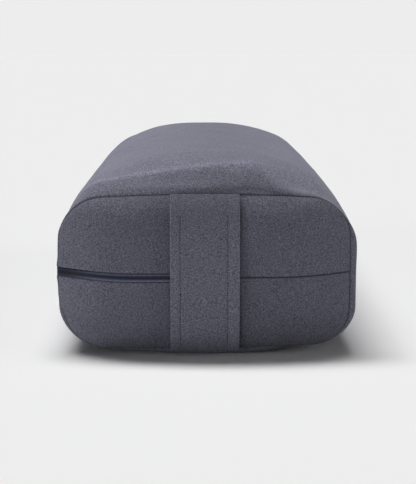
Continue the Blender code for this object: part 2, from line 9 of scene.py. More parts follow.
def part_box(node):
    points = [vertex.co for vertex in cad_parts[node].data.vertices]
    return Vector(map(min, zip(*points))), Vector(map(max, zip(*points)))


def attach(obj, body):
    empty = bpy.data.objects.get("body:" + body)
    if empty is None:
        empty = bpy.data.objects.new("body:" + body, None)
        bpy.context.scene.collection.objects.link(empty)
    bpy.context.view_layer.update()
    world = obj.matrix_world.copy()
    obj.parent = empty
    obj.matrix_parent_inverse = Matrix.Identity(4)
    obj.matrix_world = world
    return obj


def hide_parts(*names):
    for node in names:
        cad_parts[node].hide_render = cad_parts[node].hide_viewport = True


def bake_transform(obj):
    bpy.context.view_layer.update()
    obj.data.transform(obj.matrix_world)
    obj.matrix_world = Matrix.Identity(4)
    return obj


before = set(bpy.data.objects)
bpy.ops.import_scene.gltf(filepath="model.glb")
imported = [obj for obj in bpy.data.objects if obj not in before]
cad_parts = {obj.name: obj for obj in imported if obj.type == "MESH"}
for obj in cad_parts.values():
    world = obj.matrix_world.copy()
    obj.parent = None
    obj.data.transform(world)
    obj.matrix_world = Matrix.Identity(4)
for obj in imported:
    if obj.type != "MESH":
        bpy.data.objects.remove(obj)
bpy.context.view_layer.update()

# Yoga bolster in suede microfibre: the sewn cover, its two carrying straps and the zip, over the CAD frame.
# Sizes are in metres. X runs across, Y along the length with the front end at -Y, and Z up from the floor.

# Shape of the cover, as in the CAD
OVERALL_LENGTH = 0.660
HALF_WIDTH = 0.1483
HALF_HEIGHT = 0.0766
END_CROWN = 0.014
END_CROWN_POWER = 5.0
END_BOW = 0.0133
END_BOW_POWER = 2.6
TOP_ARCH = 0.0076
TOP_DOME = 0.0361
TOP_DOME_POWER = 2.4
LENGTH_CROWN = 0.0039
RIGHT_SWELL = 0.0066
LEFT_SWELL = 0.0040
SWELL_POWER = 2.65
SWELL_RUN = 0.006
LEFT_CORNER_RUN = 0.020
LEFT_BOW = 0.0030
RIGHT_BOW = 0.0014
LOW_TILT = 0.0017
BASE_LIFT = 0.0073
BASE_FLAT_DEPTH = 0.0005
BASE_SWELL_POWER = 3.3
SEAM_RADII = (0.0400, 0.0380, 0.0380, 0.0425)
BODY_RADII = (0.0435, 0.0490, 0.0400, 0.0390)
COVER_WALL = 0.0015
GAP = 0.0003
MID_Z = BASE_LIFT + HALF_HEIGHT
MIDDLE = np.array([0.0, 0.0, MID_Z])

# Zip opening and its lips; beyond the zip the front halves meet in a plain seam
HALF_OPENING = 0.0042
HALF_SPLIT = 0.0
ZIP_START_X = -0.0225
ZIP_START_RUN = 0.003
LIP_HEIGHT = 0.0011
LIP_RUN = 0.0075
LIP_ROLL = 0.0014

# Seams: how far the cloth rolls into one and is pulled in beside it, its hem and its small puckers
SEAM_ROLL = 0.0014
SEAM_ROLL_DEPTH = 0.0007
SEAM_PULL = 0.0003
SEAM_PULL_RUN = 0.005
SPLIT_EXTRA_DEPTH = 0.0003
DEEPEST = 0.0016
HEM = 0.00015
HEM_RUN = 0.002
HELD_RUN = 0.003
FREE_RUN = 0.02
PUCKER = 0.00022
PUCKER_LENGTH = 0.011
PUCKER_RUN = 0.009
PUCKER_SEED = 5.3

# Shoulders of the top: a low wall over the seam, a slope up to a crest, then a gentle rise to the dome
WALL_HEIGHT = 0.007
WALL_RUN = 0.004
SHOULDER_RUN = 0.020
CREST_ROUNDING = 0.0025
DOME_RUN = 0.060
CREST_MIDDLE = 0.0268
CREST_TILT = 0.12
CREST_SHARE = 0.94
CREST_TOP_ROUNDING = 0.002
CREST_FADE = 0.75
CREST_FADE_SPAN = (0.045, 0.100)
REAR_SHOULDER_SHARE = 0.78
CREST_HEIGHT = 0.0012
CREST_RUN = 0.008
CREST_END_SPAN = (0.040, 0.085)
TOP_FROM = 0.150
TOP_BLEND = 0.02

# The left seam stays out on the silhouette down to the lower corner; the underside hangs lowest at the strap
ZIP_RISE = 0.0024
ZIP_RISE_FROM = 0.073
MID_SEAM_RISE = 0.0017
MID_SEAM_RISE_FROM = 0.083
RISE_HEIGHT = 0.033
RISE_RUN = 0.010
HUG_LOW = -0.048
HUG_HIGH = -0.022
BELLY_HALF_WIDTH = 0.040
BELLY_LIFT = 0.0028
BELLY_RUN = 0.040
TUCK_SHARE = 0.85
TUCK_FROM = 0.055
TUCK_FULL = 0.095

# Unevenness of the padding, which stops at the floor, and the front panel's bulges beside the strap
UNEVEN = 0.0006
UNEVEN_LENGTH = 0.055
WRAP_SEED = 1.7
CLOTH_SEED = 3.1
PANEL_SEEDS = (("upper", 1, 2.1), ("lower", -1, 8.7))
FLOOR_CLEAR = 0.0005
FLOOR_BLEND = 0.01
LEFT_BULGE = 0.0040
RIGHT_BULGE = 0.0012
BULGE_X = 0.098
BULGE_RUN = 0.060

# Grain of the suede: the size of its tufts and patches, and the painted shade darkening the seams' creases
NAP_GRAIN = 0.0013
NAP_DEPTH = 0.0006
NAP_PATCH = 0.045
SEAM_PAINTED_SHADE = 0.60
SEAM_PAINTED_SHADE_RUN = 0.0009

# Top: a painted highlight along the crest, and painted light under its right end and towards both sides
# behind it
CREST_PAINTED_HIGHLIGHT = 0.34
CREST_HIGHLIGHT_BEHIND = 0.002
CREST_HIGHLIGHT_RUN = 0.0032
CREST_HIGHLIGHT_SPAN = (0.030, 0.080)
CREST_SOFT_PAINTED_LIGHT = 0.42
CREST_SOFT_PLACE = 0.0155
CREST_SOFT_RUN = 0.0040
CREST_SOFT_FROM = (0.010, 0.035)
CREST_SOFT_TO = (0.060, 0.085)
TOP_PAINTED_LIGHT_FROM = (0.016, 0.020)
TOP_LEFT_PAINTED_LIGHT = 0.16
TOP_LEFT_SPAN = (-0.020, 0.090)
TOP_RIGHT_PAINTED_LIGHT = 0.10
TOP_RIGHT_SPAN = (0.020, 0.090)

# Wall over the end seam, by distance along the cloth from it: painted light low down, painted shade on the
# right
WALL_PAINTED_LIGHT = 0.36
WALL_PAINTED_LIGHT_RUN = (0.003, 0.006)
# A band of painted shade near the top of the wall
WALL_TOP_PAINTED_SHADE = 0.04
WALL_TOP_PLACE = 0.0075
WALL_TOP_RUN = 0.0025
WALL_RIGHT_SPAN = (0.050, 0.085)
SIDE_WALL_PAINTED_SHADE = 0.30
SIDE_WALL_RUN = (0.007, 0.018)
SIDE_WALL_HEIGHT = (0.115, 0.140)

# Front end: painted light on the far left; painted shade at the top, bottom, right and by the strap
LEFT_PAINTED_LIGHT = 0.17
LEFT_PAINTED_LIGHT_SPAN = (0.085, 0.150)
RIGHT_PAINTED_SHADE = 0.12
RIGHT_PAINTED_SHADE_SPAN = (0.0, 0.060)
RIGHT_PAINTED_SHADE_TOP = (0.030, 0.060)
UPPER_PAINTED_SHADE = 0.08
UPPER_PAINTED_SHADE_SPAN = (0.040, 0.068)
LOW_PAINTED_SHADE = 0.11
LOW_PAINTED_SHADE_SPAN = (0.020, 0.060)
STRAP_SIDE_PAINTED_SHADE = 0.08
STRAP_SIDE_SPAN = (-0.085, -0.038)
# A painted shadow along the strap's right edge
STRAP_EDGE_PAINTED_SHADOW = 0.50
STRAP_EDGE_OUT = 0.0004
STRAP_EDGE_RUN = 0.0011

# Straps: lighter than the cover, with painted light on the side bands and painted shade towards the top
STRAP_LIGHTER = 1.08
BAND_PAINTED_LIGHT = 0.05
BAND_PAINTED_LIGHT_SPAN = (0.024, 0.027)
STRAP_UPPER_PAINTED_SHADE = 0.18
STRAP_UPPER_SPAN = (0.040, 0.066)

# Cloth simulation of the cover: its slack, how firmly the filling holds it, and what is kept of its folds
CLOTH_STEP = 0.006
CLOTH_FRAMES = 20
CLOTH_QUALITY = 5
CLOTH_MASS = 0.3
CLOTH_STRETCH = 15
CLOTH_SHEAR = 5
CLOTH_BENDING = 3.0
CLOTH_PRESSURE = 1.0
CLOTH_SLACK = 0.03
SEWN_EDGE = 0.003
FILLING_HOLD = 0.1
FOLD_WIDTH = 5
FOLD_SHARE = 0.16
FOLD_CAP = 0.0008

# Straps
STRAP_WIDTH = 0.071
STRAP_THICKNESS = 0.0036
STRAP_STANDOFF = 0.0032
FRONT_STRAP_X = -0.002
STRAP_REACH = HALF_HEIGHT - 0.001
STRAP_FACE = STRAP_THICKNESS - 0.0002
STRAP_WAVE = 0.0002
STRAP_WAVES_PER_METRE = 60
SIDE_BAND_FROM = 0.024
SIDE_BAND_RISE = 0.004
SIDE_BAND_HEIGHT = 0.0003
GROOVE_DEPTH = 0.0006
GROOVE_RUN = 0.0016
STITCH_ROWS = (-0.0252, 0.0232)
STITCH_TOP = 0.062
STITCH_BOTTOM = STRAP_REACH - 0.003
STITCH_LENGTH = 0.0021
STITCH_PITCH = 0.0027
STITCH_THREAD = 0.0006
STITCH_DIP = 0.0004
THREAD_SIDES = 6
THREAD_TWIST = 0.0006

# Zip parts: distances from its middle line, and outwards from the cover's surface
ZIP_SAMPLE = 0.0005
ZIP_CORNER = 0.006
ZIP_STEP = 0.0030
TAPE_INNER = 0.0023
TAPE_OUTER = 0.0043
TAPE_FACE = 0.0001
TAPE_BACK = 0.0006
TAPE_RIB = 0.00012
TAPE_RIBS = 6
COIL_MEET = 0.00006
COIL_INNER = 0.0005
COIL_OUTER = 0.0024
COIL_CORE = 0.0
COIL_CORE_DROP = 0.0003
COIL_CORE_BEVEL = 0.0002
COIL_WIRE = 0.00055
COIL_PITCH = 0.0016
COIL_THREAD = 0.00030
COIL_THREAD_RISE = 0.8
COIL_START = 0.0035
COIL_END = 0.0245
STOP_LENGTH = 0.003
STOP_HEIGHT = 0.0047
STOP_OUT = 0.0008
REAR_STOP_FROM_SEAM = 0.0207
STOP_HOLLOW = (0.0007, 0.0002)
METAL_ROUNDING = 0.00018
NYLON_MOTTLE = 0.0012
ZINC_MOTTLE = 0.003

# Painted shade on the zip: between the coils and where it turns the left corner; a painted shadow under the
# upper lip
COIL_CORE_PAINTED_SHADE = 0.35
COIL_MIDDLE_PAINTED_SHADE = 0.92
COIL_MIDDLE_RUN = 0.0008
ZIP_CORNER_PAINTED_SHADE = 0.70
ZIP_CORNER_SPAN = (0.105, 0.150)
ZIP_LIP_PAINTED_SHADOW = 0.80
ZIP_LIP_SPAN = (0.0024, 0.0032)

# Slider and pull tab: outward distances from the cover's surface, lengths along Y and heights along Z.
# A corner is its radius and segments, and a hollow is its border and depth.
SLIDER_PARK_FROM_SEAM = 0.030
PLATE_OUT = (0.0006, 0.0016)
PLATE_SIZE = (0.0120, 0.0080)
PLATE_TAPER = 0.80
PLATE_CORNER = (0.0014, 4)
PLATE_HOLLOW = (0.0008, 0.00022)
BACK_OUT = (-0.0014, -0.0008)
BACK_SIZE = (0.0090, 0.0070)
BACK_CORNER = (0.0012, 3)
WEB_OUT = (-0.0011, 0.0009)
WEB_SIZE = (0.0030, 0.0005)
BRIDGE_OUT = (0.0033, 0.0043)
BRIDGE_SIZE = (0.0080, 0.0016)
BRIDGE_POST = 0.0011
POST_SINK = 0.0002
PIN_OUT = 0.00245
PULL_LENGTH = 0.024
PULL_WIDTH = 0.0062
PULL_THICKNESS = 0.0011
PULL_PIN = 0.0010
PULL_END_CORNER = (0.0026, 6)
PULL_PIN_CORNER = (0.0008, 3)
PULL_WINDOW = (0.0050, 0.0028)
PULL_SLOT = (0.0120, 0.0210, 0.0022)
SLOT_ROUNDING = 0.49
SLOT_SEGMENTS = 6
CUT_MARGIN = 0.001

# Mesh steps
FINE_STEP = 0.0003
STEP_GROWTH = 1.35
LENGTH_STEP = 0.0050
SIDE_STEP = 0.0042
PANEL_STEP = 0.003
LIP_GRADING = 0.033
CORNER_STEPS = 16
TOP_STEPS = 46
BASE_STEPS = 30
BORDER_STEPS = 60
STRAP_STEP = 0.0025
STRAP_ACROSS_STEP = 0.001
STRAP_EDGE_STEPS = 9
SLOPE_STEP = 0.0005
SHARP_ANGLE = 40

# Camera, lights and floor; angles are in degrees
CAMERA_PLACE = (-0.0078, -1.605, 0.3229)
CAMERA_TURN = (81.0, 0.0, -0.4)
CAMERA_LENS = 94.69
CAMERA_SENSOR = 36
BACKGROUND = "EDEDED"
FLOOR_COLOUR = "F9F9F9"
FLOOR_SIZE = 60
FLOOR_BOUNCE = 0.62
STRIP_SUNS = (-6, 2, 10, 18, 26)
STRIP_STRENGTH = 0.54
STRIP_SPREAD = 16
STRIP_BACK = 14
FILL_LIGHTS = (((-1.0, -0.66, 0.06), 0.94, 30), ((1.0, -0.10, 0.12), 0.84, 40))
WORLD_LIGHT = 0.03


# Shape helpers

def rise(distance, run):
    """0 at a seam, easing to 1 once the cloth is a run away from it."""
    return 1 - (1 - np.minimum(distance / run, 1.0)) ** 2


def graded(length, first, most):
    """Places from 0 to length, close together at 0 and at most a given step apart."""
    places = [0.0]
    step = first
    while places[-1] + step < length:
        places.append(places[-1] + step)
        step = min(step * STEP_GROWTH, most)
    return np.array(places) * (length / places[-1])


def graded_both(length, first, most):
    """Places from 0 to length, close together at both ends."""
    half = graded(length / 2, first, most)
    return np.concatenate([half, (length - half[::-1])[1:]])


def rolled(distance, run, depth):
    """Depth of a rounded edge at a distance from its end."""
    near = np.clip(1 - distance / run, 0, 1)
    return depth * (1 - np.sqrt(1 - near ** 2))


def bell(distance, run):
    """1 at no distance, falling smoothly to nothing about two runs away."""
    return np.exp(-(distance / run) ** 2)


def ease(value, low, high):
    """0 below low, 1 above high and a smooth turn between them."""
    share = np.clip((value - low) / (high - low), 0, 1)
    return share * share * (3 - 2 * share)


def lesser(first, second, round_off):
    """The smaller of two values, rounded where they cross."""
    gap = first - second
    return (first + second - np.sqrt(gap ** 2 + round_off ** 2)) / 2


def across_share(x):
    """0 in the middle of the width and 1 at either side."""
    return np.minimum(np.abs(x) / HALF_WIDTH, 1.0)


def seam_reach(x):
    """Distance from the middle of the length to the end seam, which bows out between its two sides."""
    return OVERALL_LENGTH / 2 - END_CROWN - GAP - END_BOW * across_share(x) ** END_BOW_POWER


def arch_lift(x, z):
    """How far the upper half of the section arches up between its corners."""
    return TOP_ARCH * (1 - across_share(x) ** TOP_DOME_POWER) * (np.maximum(z, 0) / HALF_HEIGHT) ** 2


def seam_depth(distance):
    """How far the cloth lies in beside a seam."""
    return rolled(distance, SEAM_ROLL, SEAM_ROLL_DEPTH) + SEAM_PULL * np.exp(-distance / SEAM_PULL_RUN)


def seam_painted_shade(distance):
    """Painted shade beside a seam: the suede's colour darkened as for shade in the crease."""
    return 1 - SEAM_PAINTED_SHADE * bell(distance, SEAM_PAINTED_SHADE_RUN)


def uneven(points, length, seed):
    """Smooth unevenness from -1 to 1 at each point of a grid."""
    shift = Vector((seed, 2.3 * seed, 4.1 * seed))
    flat = points.reshape(-1, 3) / length
    values = [noise.noise(Vector(point) + shift) for point in flat]
    return np.array(values).reshape(points.shape[:-1])


def outward(points):
    """Unit normals of a grid of points, away from the middle of the cushion."""
    normals = np.cross(np.gradient(points, axis=0), np.gradient(points, axis=1))
    normals /= np.maximum(np.linalg.norm(normals, axis=-1, keepdims=True), 1e-12)
    facing = np.sum(normals * (points - MIDDLE), axis=-1).mean()
    return normals if facing > 0 else -normals


# Mesh helpers

def add_piece(name, vertices, faces, finish, body, painted_shading=None):
    """A mesh piece on its body and slot; the last argument gives each vertex of a suede or zip piece its
    painted light and shade.
    """
    mesh = bpy.data.meshes.new(name)
    mesh.from_pydata([tuple(vertex) for vertex in vertices], [], faces)
    mesh.validate()
    if painted_shading is not None:
        mesh.attributes.new("painted_shading", "FLOAT", "POINT").data.foreach_set("value", np.ravel(painted_shading))
    made = bpy.data.objects.new(name, mesh)
    bpy.context.scene.collection.objects.link(made)
    face_out(made)
    mesh.shade_smooth()
    mesh.set_sharp_from_angle(angle=math.radians(SHARP_ANGLE))
    mesh.materials.append(finish)
    if body:
        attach(made, body)
    return made


def pick(made):
    """Make one object the only one selected, and the active one."""
    bpy.ops.object.select_all(action="DESELECT")
    bpy.context.view_layer.objects.active = made
    made.select_set(True)


def face_out(made):
    """Merge a mesh's doubles and turn its faces outwards."""
    pick(made)
    bpy.ops.object.mode_set(mode="EDIT")
    bpy.ops.mesh.select_all(action="SELECT")
    bpy.ops.mesh.remove_doubles(threshold=0.000001)
    bpy.ops.mesh.normals_make_consistent(inside=False)
    bpy.ops.object.mode_set(mode="OBJECT")
    made.select_set(False)


def grid_faces(rows, columns, first=0, closed=False):
    """Faces over a grid of vertices from a first one on; a closed one joins its last column to its first."""
    faces = []
    last = columns if closed else columns - 1
    for row in range(rows - 1):
        for column in range(last):
            after = (column + 1) % columns
            low = first + row * columns
            high = low + columns
            faces.append((low + column, low + after, high + after, high + column))
    return faces


def tube_faces(rings, sides, first=0):
    """Faces of a tube through rings of vertices, closed at both ends."""
    last = first + (rings - 1) * sides
    faces = grid_faces(rings, sides, first, closed=True)
    faces.append(tuple(range(first, first + sides)))
    faces.append(tuple(range(last, last + sides)))
    return faces


def cloth_sheet(outer, inner):
    """Vertices and faces of a sheet with an outer face, an inner face and closed edges."""
    rows, columns = outer.shape[:2]
    count = rows * columns
    vertices = np.concatenate([outer.reshape(-1, 3), inner.reshape(-1, 3)])
    faces = grid_faces(rows, columns) + grid_faces(rows, columns, count)
    rim = list(range(columns))
    rim += [row * columns + columns - 1 for row in range(1, rows)]
    rim += [(rows - 1) * columns + column for column in range(columns - 2, -1, -1)]
    rim += [row * columns for row in range(rows - 2, 0, -1)]
    for index, place in enumerate(rim):
        after = rim[(index + 1) % len(rim)]
        faces.append((place, after, after + count, place + count))
    return vertices, faces


# Cloth simulation

def resample(grid, row_places, column_places, new_rows, new_columns):
    """Values of a grid between its own rows and columns."""
    row = np.interp(new_rows, row_places, np.arange(len(row_places)))
    column = np.interp(new_columns, column_places, np.arange(len(column_places)))
    low_row = np.minimum(row.astype(int), len(row_places) - 2)
    low_column = np.minimum(column.astype(int), len(column_places) - 2)
    spare = (1,) * (grid.ndim - 2)
    v = (row - low_row).reshape(-1, 1, *spare)
    u = (column - low_column).reshape(1, -1, *spare)
    near = grid[low_row][:, low_column] * (1 - u) + grid[low_row][:, low_column + 1] * u
    far = grid[low_row + 1][:, low_column] * (1 - u) + grid[low_row + 1][:, low_column + 1] * u
    return near * (1 - v) + far * v


def blurred(values, width):
    """The smooth part of a grid of values."""
    kernel = np.exp(-(np.arange(-3 * width, 3 * width + 1) / width) ** 2 / 2)
    kernel /= kernel.sum()
    smooth = np.pad(values, 3 * width, mode="edge")
    for axis in (0, 1):
        smooth = np.apply_along_axis(lambda line: np.convolve(line, kernel, mode="valid"), axis, smooth)
    return smooth


def settled(points, normals, sewn):
    """How far each point moves out when a sheet of cloth, a little too large, settles over the filling."""
    rows, columns = points.shape[:2]
    faces = grid_faces(rows, columns)
    first_normal = np.cross(points[1, 2] - points[1, 1], points[2, 1] - points[1, 1])
    if np.dot(first_normal, normals[1, 1]) < 0:
        faces = [face[::-1] for face in faces]
    mesh = bpy.data.meshes.new("settling_cloth")
    mesh.from_pydata(points.reshape(-1, 3).tolist(), [], faces)
    sheet = bpy.data.objects.new("settling_cloth", mesh)
    bpy.context.scene.collection.objects.link(sheet)
    group = sheet.vertex_groups.new(name="held")
    for index, weight in enumerate(np.maximum(sewn, FILLING_HOLD).ravel()):
        group.add([index], float(weight), "REPLACE")
    settings = sheet.modifiers.new("filling", "CLOTH").settings
    settings.quality = CLOTH_QUALITY
    settings.mass = CLOTH_MASS
    settings.tension_stiffness = CLOTH_STRETCH
    settings.compression_stiffness = CLOTH_STRETCH
    settings.shear_stiffness = CLOTH_SHEAR
    settings.bending_stiffness = CLOTH_BENDING
    settings.use_pressure = True
    settings.uniform_pressure_force = CLOTH_PRESSURE
    settings.shrink_min = -CLOTH_SLACK
    settings.vertex_group_mass = "held"
    settings.effector_weights.gravity = 0.0
    scene = bpy.context.scene
    for number in range(1, CLOTH_FRAMES + 1):
        scene.frame_set(number)
    moved = np.empty(rows * columns * 3)
    sheet.evaluated_get(bpy.context.evaluated_depsgraph_get()).data.vertices.foreach_get("co", moved)
    bpy.data.objects.remove(sheet)
    scene.frame_set(1)
    return np.sum((moved.reshape(points.shape) - points) * normals, axis=-1)


def folds(points, row_places, column_places):
    """Folds and dimples that the simulated cloth forms between its sewn edges, for each point of a grid."""
    rows = np.linspace(0, row_places[-1], int(row_places[-1] / CLOTH_STEP) + 1)
    columns = np.linspace(0, column_places[-1], int(column_places[-1] / CLOTH_STEP) + 1)
    coarse = resample(points, row_places, column_places, rows, columns)
    normals = outward(coarse)
    coarse = coarse + normals * (UNEVEN * uneven(coarse, UNEVEN_LENGTH, CLOTH_SEED))[..., None]
    row_edge = np.minimum(rows, rows[-1] - rows)[:, None]
    column_edge = np.minimum(columns, columns[-1] - columns)[None, :]
    near_edge = np.minimum(row_edge, column_edge) < SEWN_EDGE
    sewn = np.where(near_edge | (coarse[..., 2] < UNEVEN), 1.0, 0.0)
    moved = settled(coarse, normals, sewn)
    kept = np.clip(FOLD_SHARE * (moved - blurred(moved, FOLD_WIDTH)), -FOLD_CAP, FOLD_CAP)
    return resample(kept, rows, columns, row_places, column_places)


# Wrap panel

def lip_places():
    """Shares of the left side at which the mesh has a point, close together beside the zip."""
    return graded(LIP_GRADING, FINE_STEP, SIDE_STEP) / LIP_GRADING


def section(radii):
    """Stations (x, z, outward x, outward z) from the upper zip lip over the top round to the lower lip."""
    top_left, top_right, low_right, low_left = radii
    upper_side = HALF_HEIGHT - top_left - HALF_OPENING
    lower_side = HALF_HEIGHT - low_left - HALF_OPENING
    top = np.linspace(top_left - HALF_WIDTH, HALF_WIDTH - top_right, TOP_STEPS, endpoint=False)
    base = np.linspace(HALF_WIDTH - low_right, low_left - HALF_WIDTH, BASE_STEPS, endpoint=False)
    lip = lip_places()
    right = np.linspace(HALF_HEIGHT - top_right, low_right - HALF_HEIGHT, 2 * (len(lip) // 2), endpoint=False)
    rows = [(-HALF_WIDTH, HALF_OPENING + upper_side * share, -1, 0) for share in lip[:-1]]
    rows += corner(-1, 1, top_left, 180)
    rows += [(x, HALF_HEIGHT, 0, 1) for x in top]
    rows += corner(1, 1, top_right, 90)
    rows += [(HALF_WIDTH, z, 1, 0) for z in right]
    rows += corner(1, -1, low_right, 0)
    rows += [(x, -HALF_HEIGHT, 0, -1) for x in base]
    rows += corner(-1, -1, low_left, -90)
    rows += [(-HALF_WIDTH, -HALF_OPENING - lower_side * share, -1, 0) for share in lip[::-1]]
    return np.array(rows)


def side_bow(x, z):
    """How far the two sides bow out between their corners."""
    bow = np.where(x < 0, -LEFT_BOW, RIGHT_BOW)
    up = np.minimum(np.abs(z) / HALF_HEIGHT, 1)
    return bow * across_share(x) ** 2 * (1 - up ** 2)


def low_tilt(x, z):
    """The bottom seam hangs a little lower on the left than on the right."""
    return LOW_TILT * x / HALF_WIDTH * (np.minimum(z, 0) / HALF_HEIGHT) ** 2


def mid_rise(x, z):
    """How far the front's mid seam and zip climb towards the two sides."""
    left = ZIP_RISE * ease(-x, ZIP_RISE_FROM, HALF_WIDTH)
    right = MID_SEAM_RISE * ease(x, MID_SEAM_RISE_FROM, HALF_WIDTH)
    beyond_zip = np.maximum(np.abs(z) - HALF_OPENING, 0)
    return (left + right) * np.maximum(1 - beyond_zip / RISE_HEIGHT, 0) ** 2


def corner(side, up, radius, first):
    """Stations round one corner, a quarter turn clockwise from the first angle."""
    centre_x = side * (HALF_WIDTH - radius)
    centre_z = up * (HALF_HEIGHT - radius)
    stations = []
    for angle in np.linspace(first, first - 90, CORNER_STEPS, endpoint=False):
        out_x = math.cos(math.radians(angle))
        out_z = math.sin(math.radians(angle))
        stations.append((centre_x + radius * out_x, centre_z + radius * out_z, out_x, out_z))
    return stations


def wrap_grid():
    """Points of the wrap panel with its stations' distances from the seams and from the zip lips."""
    at_seam = section(SEAM_RADII)
    in_body = section(BODY_RADII)
    reach = seam_reach(0)
    from_front = graded_both(2 * reach, FINE_STEP, LENGTH_STEP)
    rows = [wrap_ring(at_seam, in_body, distance / reach - 1, reach) for distance in from_front]
    along = np.concatenate([[0.0], np.cumsum(np.hypot(*np.diff(in_body[:, :2], axis=0).T))])
    return np.array(rows), from_front, along


def wrap_ring(at_seam, in_body, share, reach):
    """One ring of the wrap panel, at a share of the half length: -1 at the front seam, 1 at the rear."""
    from_seam = (1 - abs(share)) * reach
    swell = rise(from_seam, SWELL_RUN)
    rounding = np.where(at_seam[:, :1] < 0, rise(from_seam, LEFT_CORNER_RUN), swell)
    x, z, out_x, out_z = (at_seam + (in_body - at_seam) * rounding).T
    left_share = np.maximum(swell, ease(z, HUG_LOW, HUG_HIGH))
    move_x = np.where(x > 0, RIGHT_SWELL * swell, -LEFT_SWELL * left_share)
    move_x = move_x * across_share(x) ** SWELL_POWER
    move_x = move_x + side_bow(x, z)
    move_z = np.where(z > 0, dome_height(x, from_seam, share), base_height(x, z, from_seam, swell))
    if share < 0:
        move_z = move_z + mid_rise(x, z) * math.exp(-(from_seam / RISE_RUN) ** 2)
    inset = seam_depth(from_seam)
    y = share * (seam_reach(x) - inset)
    height = MID_Z + z + arch_lift(x, z) + move_z - out_z * inset
    return np.stack([x + move_x - out_x * inset, y, height], axis=-1)


def base_height(x, z, from_seam, swell):
    """How far the underside moves up or down: flat to lie on, and fuller at the strap near each end."""
    drop = (BASE_LIFT + BASE_FLAT_DEPTH) * swell
    end_share = math.exp(-from_seam / BELLY_RUN)
    tucked = 1 - TUCK_SHARE * ease(x, TUCK_FROM, TUCK_FULL) * end_share
    belly = BELLY_LIFT * (1 - bell(x, BELLY_HALF_WIDTH)) * (z / HALF_HEIGHT) ** 2
    under = -drop * (1 - across_share(x) ** BASE_SWELL_POWER) * tucked
    return under + belly * swell * end_share + low_tilt(x, z) * (1 - swell)


def dome_height(x, from_seam, share):
    """Height of the top over the seam. The front crest climbs from left to right, and fades on the right."""
    full = TOP_DOME * (1 - across_share(x) ** TOP_DOME_POWER)
    if share < 0:
        crest = lesser(CREST_MIDDLE + CREST_TILT * x, CREST_SHARE * full, CREST_TOP_ROUNDING)
        crest = np.maximum(crest, 0) * (1 - CREST_FADE * ease(x, *CREST_FADE_SPAN))
    else:
        crest = REAR_SHOULDER_SHARE * full
    wall = WALL_HEIGHT * crest / (CREST_SHARE * TOP_DOME)
    low = wall * np.sqrt(1 - (1 - min(from_seam / WALL_RUN, 1.0)) ** 2)
    slope = lesser((crest - wall) * from_seam / SHOULDER_RUN, crest - wall, CREST_ROUNDING)
    slope = slope - lesser(0.0, crest - wall, CREST_ROUNDING)
    rest = (full - crest) * rise(max(from_seam - SHOULDER_RUN, 0), DOME_RUN)
    length_crown = LENGTH_CROWN * (1 - share ** 2) * full / TOP_DOME
    return low + slope + rest + length_crown


def wrap_painted_shading(points, front, top):
    """Painted light and shade on the wrap panel: painted shade in the end seams, painted light and shade on
    the wall over them, a painted highlight on the crest and painted light on the top.
    """
    x = points[..., 0]
    steps = np.linalg.norm(np.diff(points, axis=0), axis=-1)
    run = np.concatenate([np.zeros((1, x.shape[1])), np.cumsum(steps, axis=0)])
    crest = CREST_PAINTED_HIGHLIGHT * bell(front - SHOULDER_RUN - CREST_HIGHLIGHT_BEHIND, CREST_HIGHLIGHT_RUN)
    crest = crest * (1 - ease(x, *CREST_HIGHLIGHT_SPAN))
    soft = CREST_SOFT_PAINTED_LIGHT * bell(front - CREST_SOFT_PLACE, CREST_SOFT_RUN)
    soft = soft * ease(x, *CREST_SOFT_FROM) * (1 - ease(x, *CREST_SOFT_TO))
    sides = TOP_LEFT_PAINTED_LIGHT * ease(-x, *TOP_LEFT_SPAN) + TOP_RIGHT_PAINTED_LIGHT * ease(x, *TOP_RIGHT_SPAN)
    painted_light_on_top = crest * top + (sides * ease(front, *TOP_PAINTED_LIGHT_FROM) + soft) * top
    wall = WALL_PAINTED_LIGHT * (1 - ease(run, *WALL_PAINTED_LIGHT_RUN)) - WALL_TOP_PAINTED_SHADE * bell(run - WALL_TOP_PLACE, WALL_TOP_RUN)
    right = ease(x, *WALL_RIGHT_SPAN)
    side_wall = SIDE_WALL_PAINTED_SHADE * (1 - ease(run, *SIDE_WALL_RUN)) * right
    side_wall = side_wall * ease(points[..., 2], *SIDE_WALL_HEIGHT)
    return (1 + painted_light_on_top + wall * top * (1 - right) - side_wall) * seam_painted_shade(np.minimum(run, run[-1] - run))


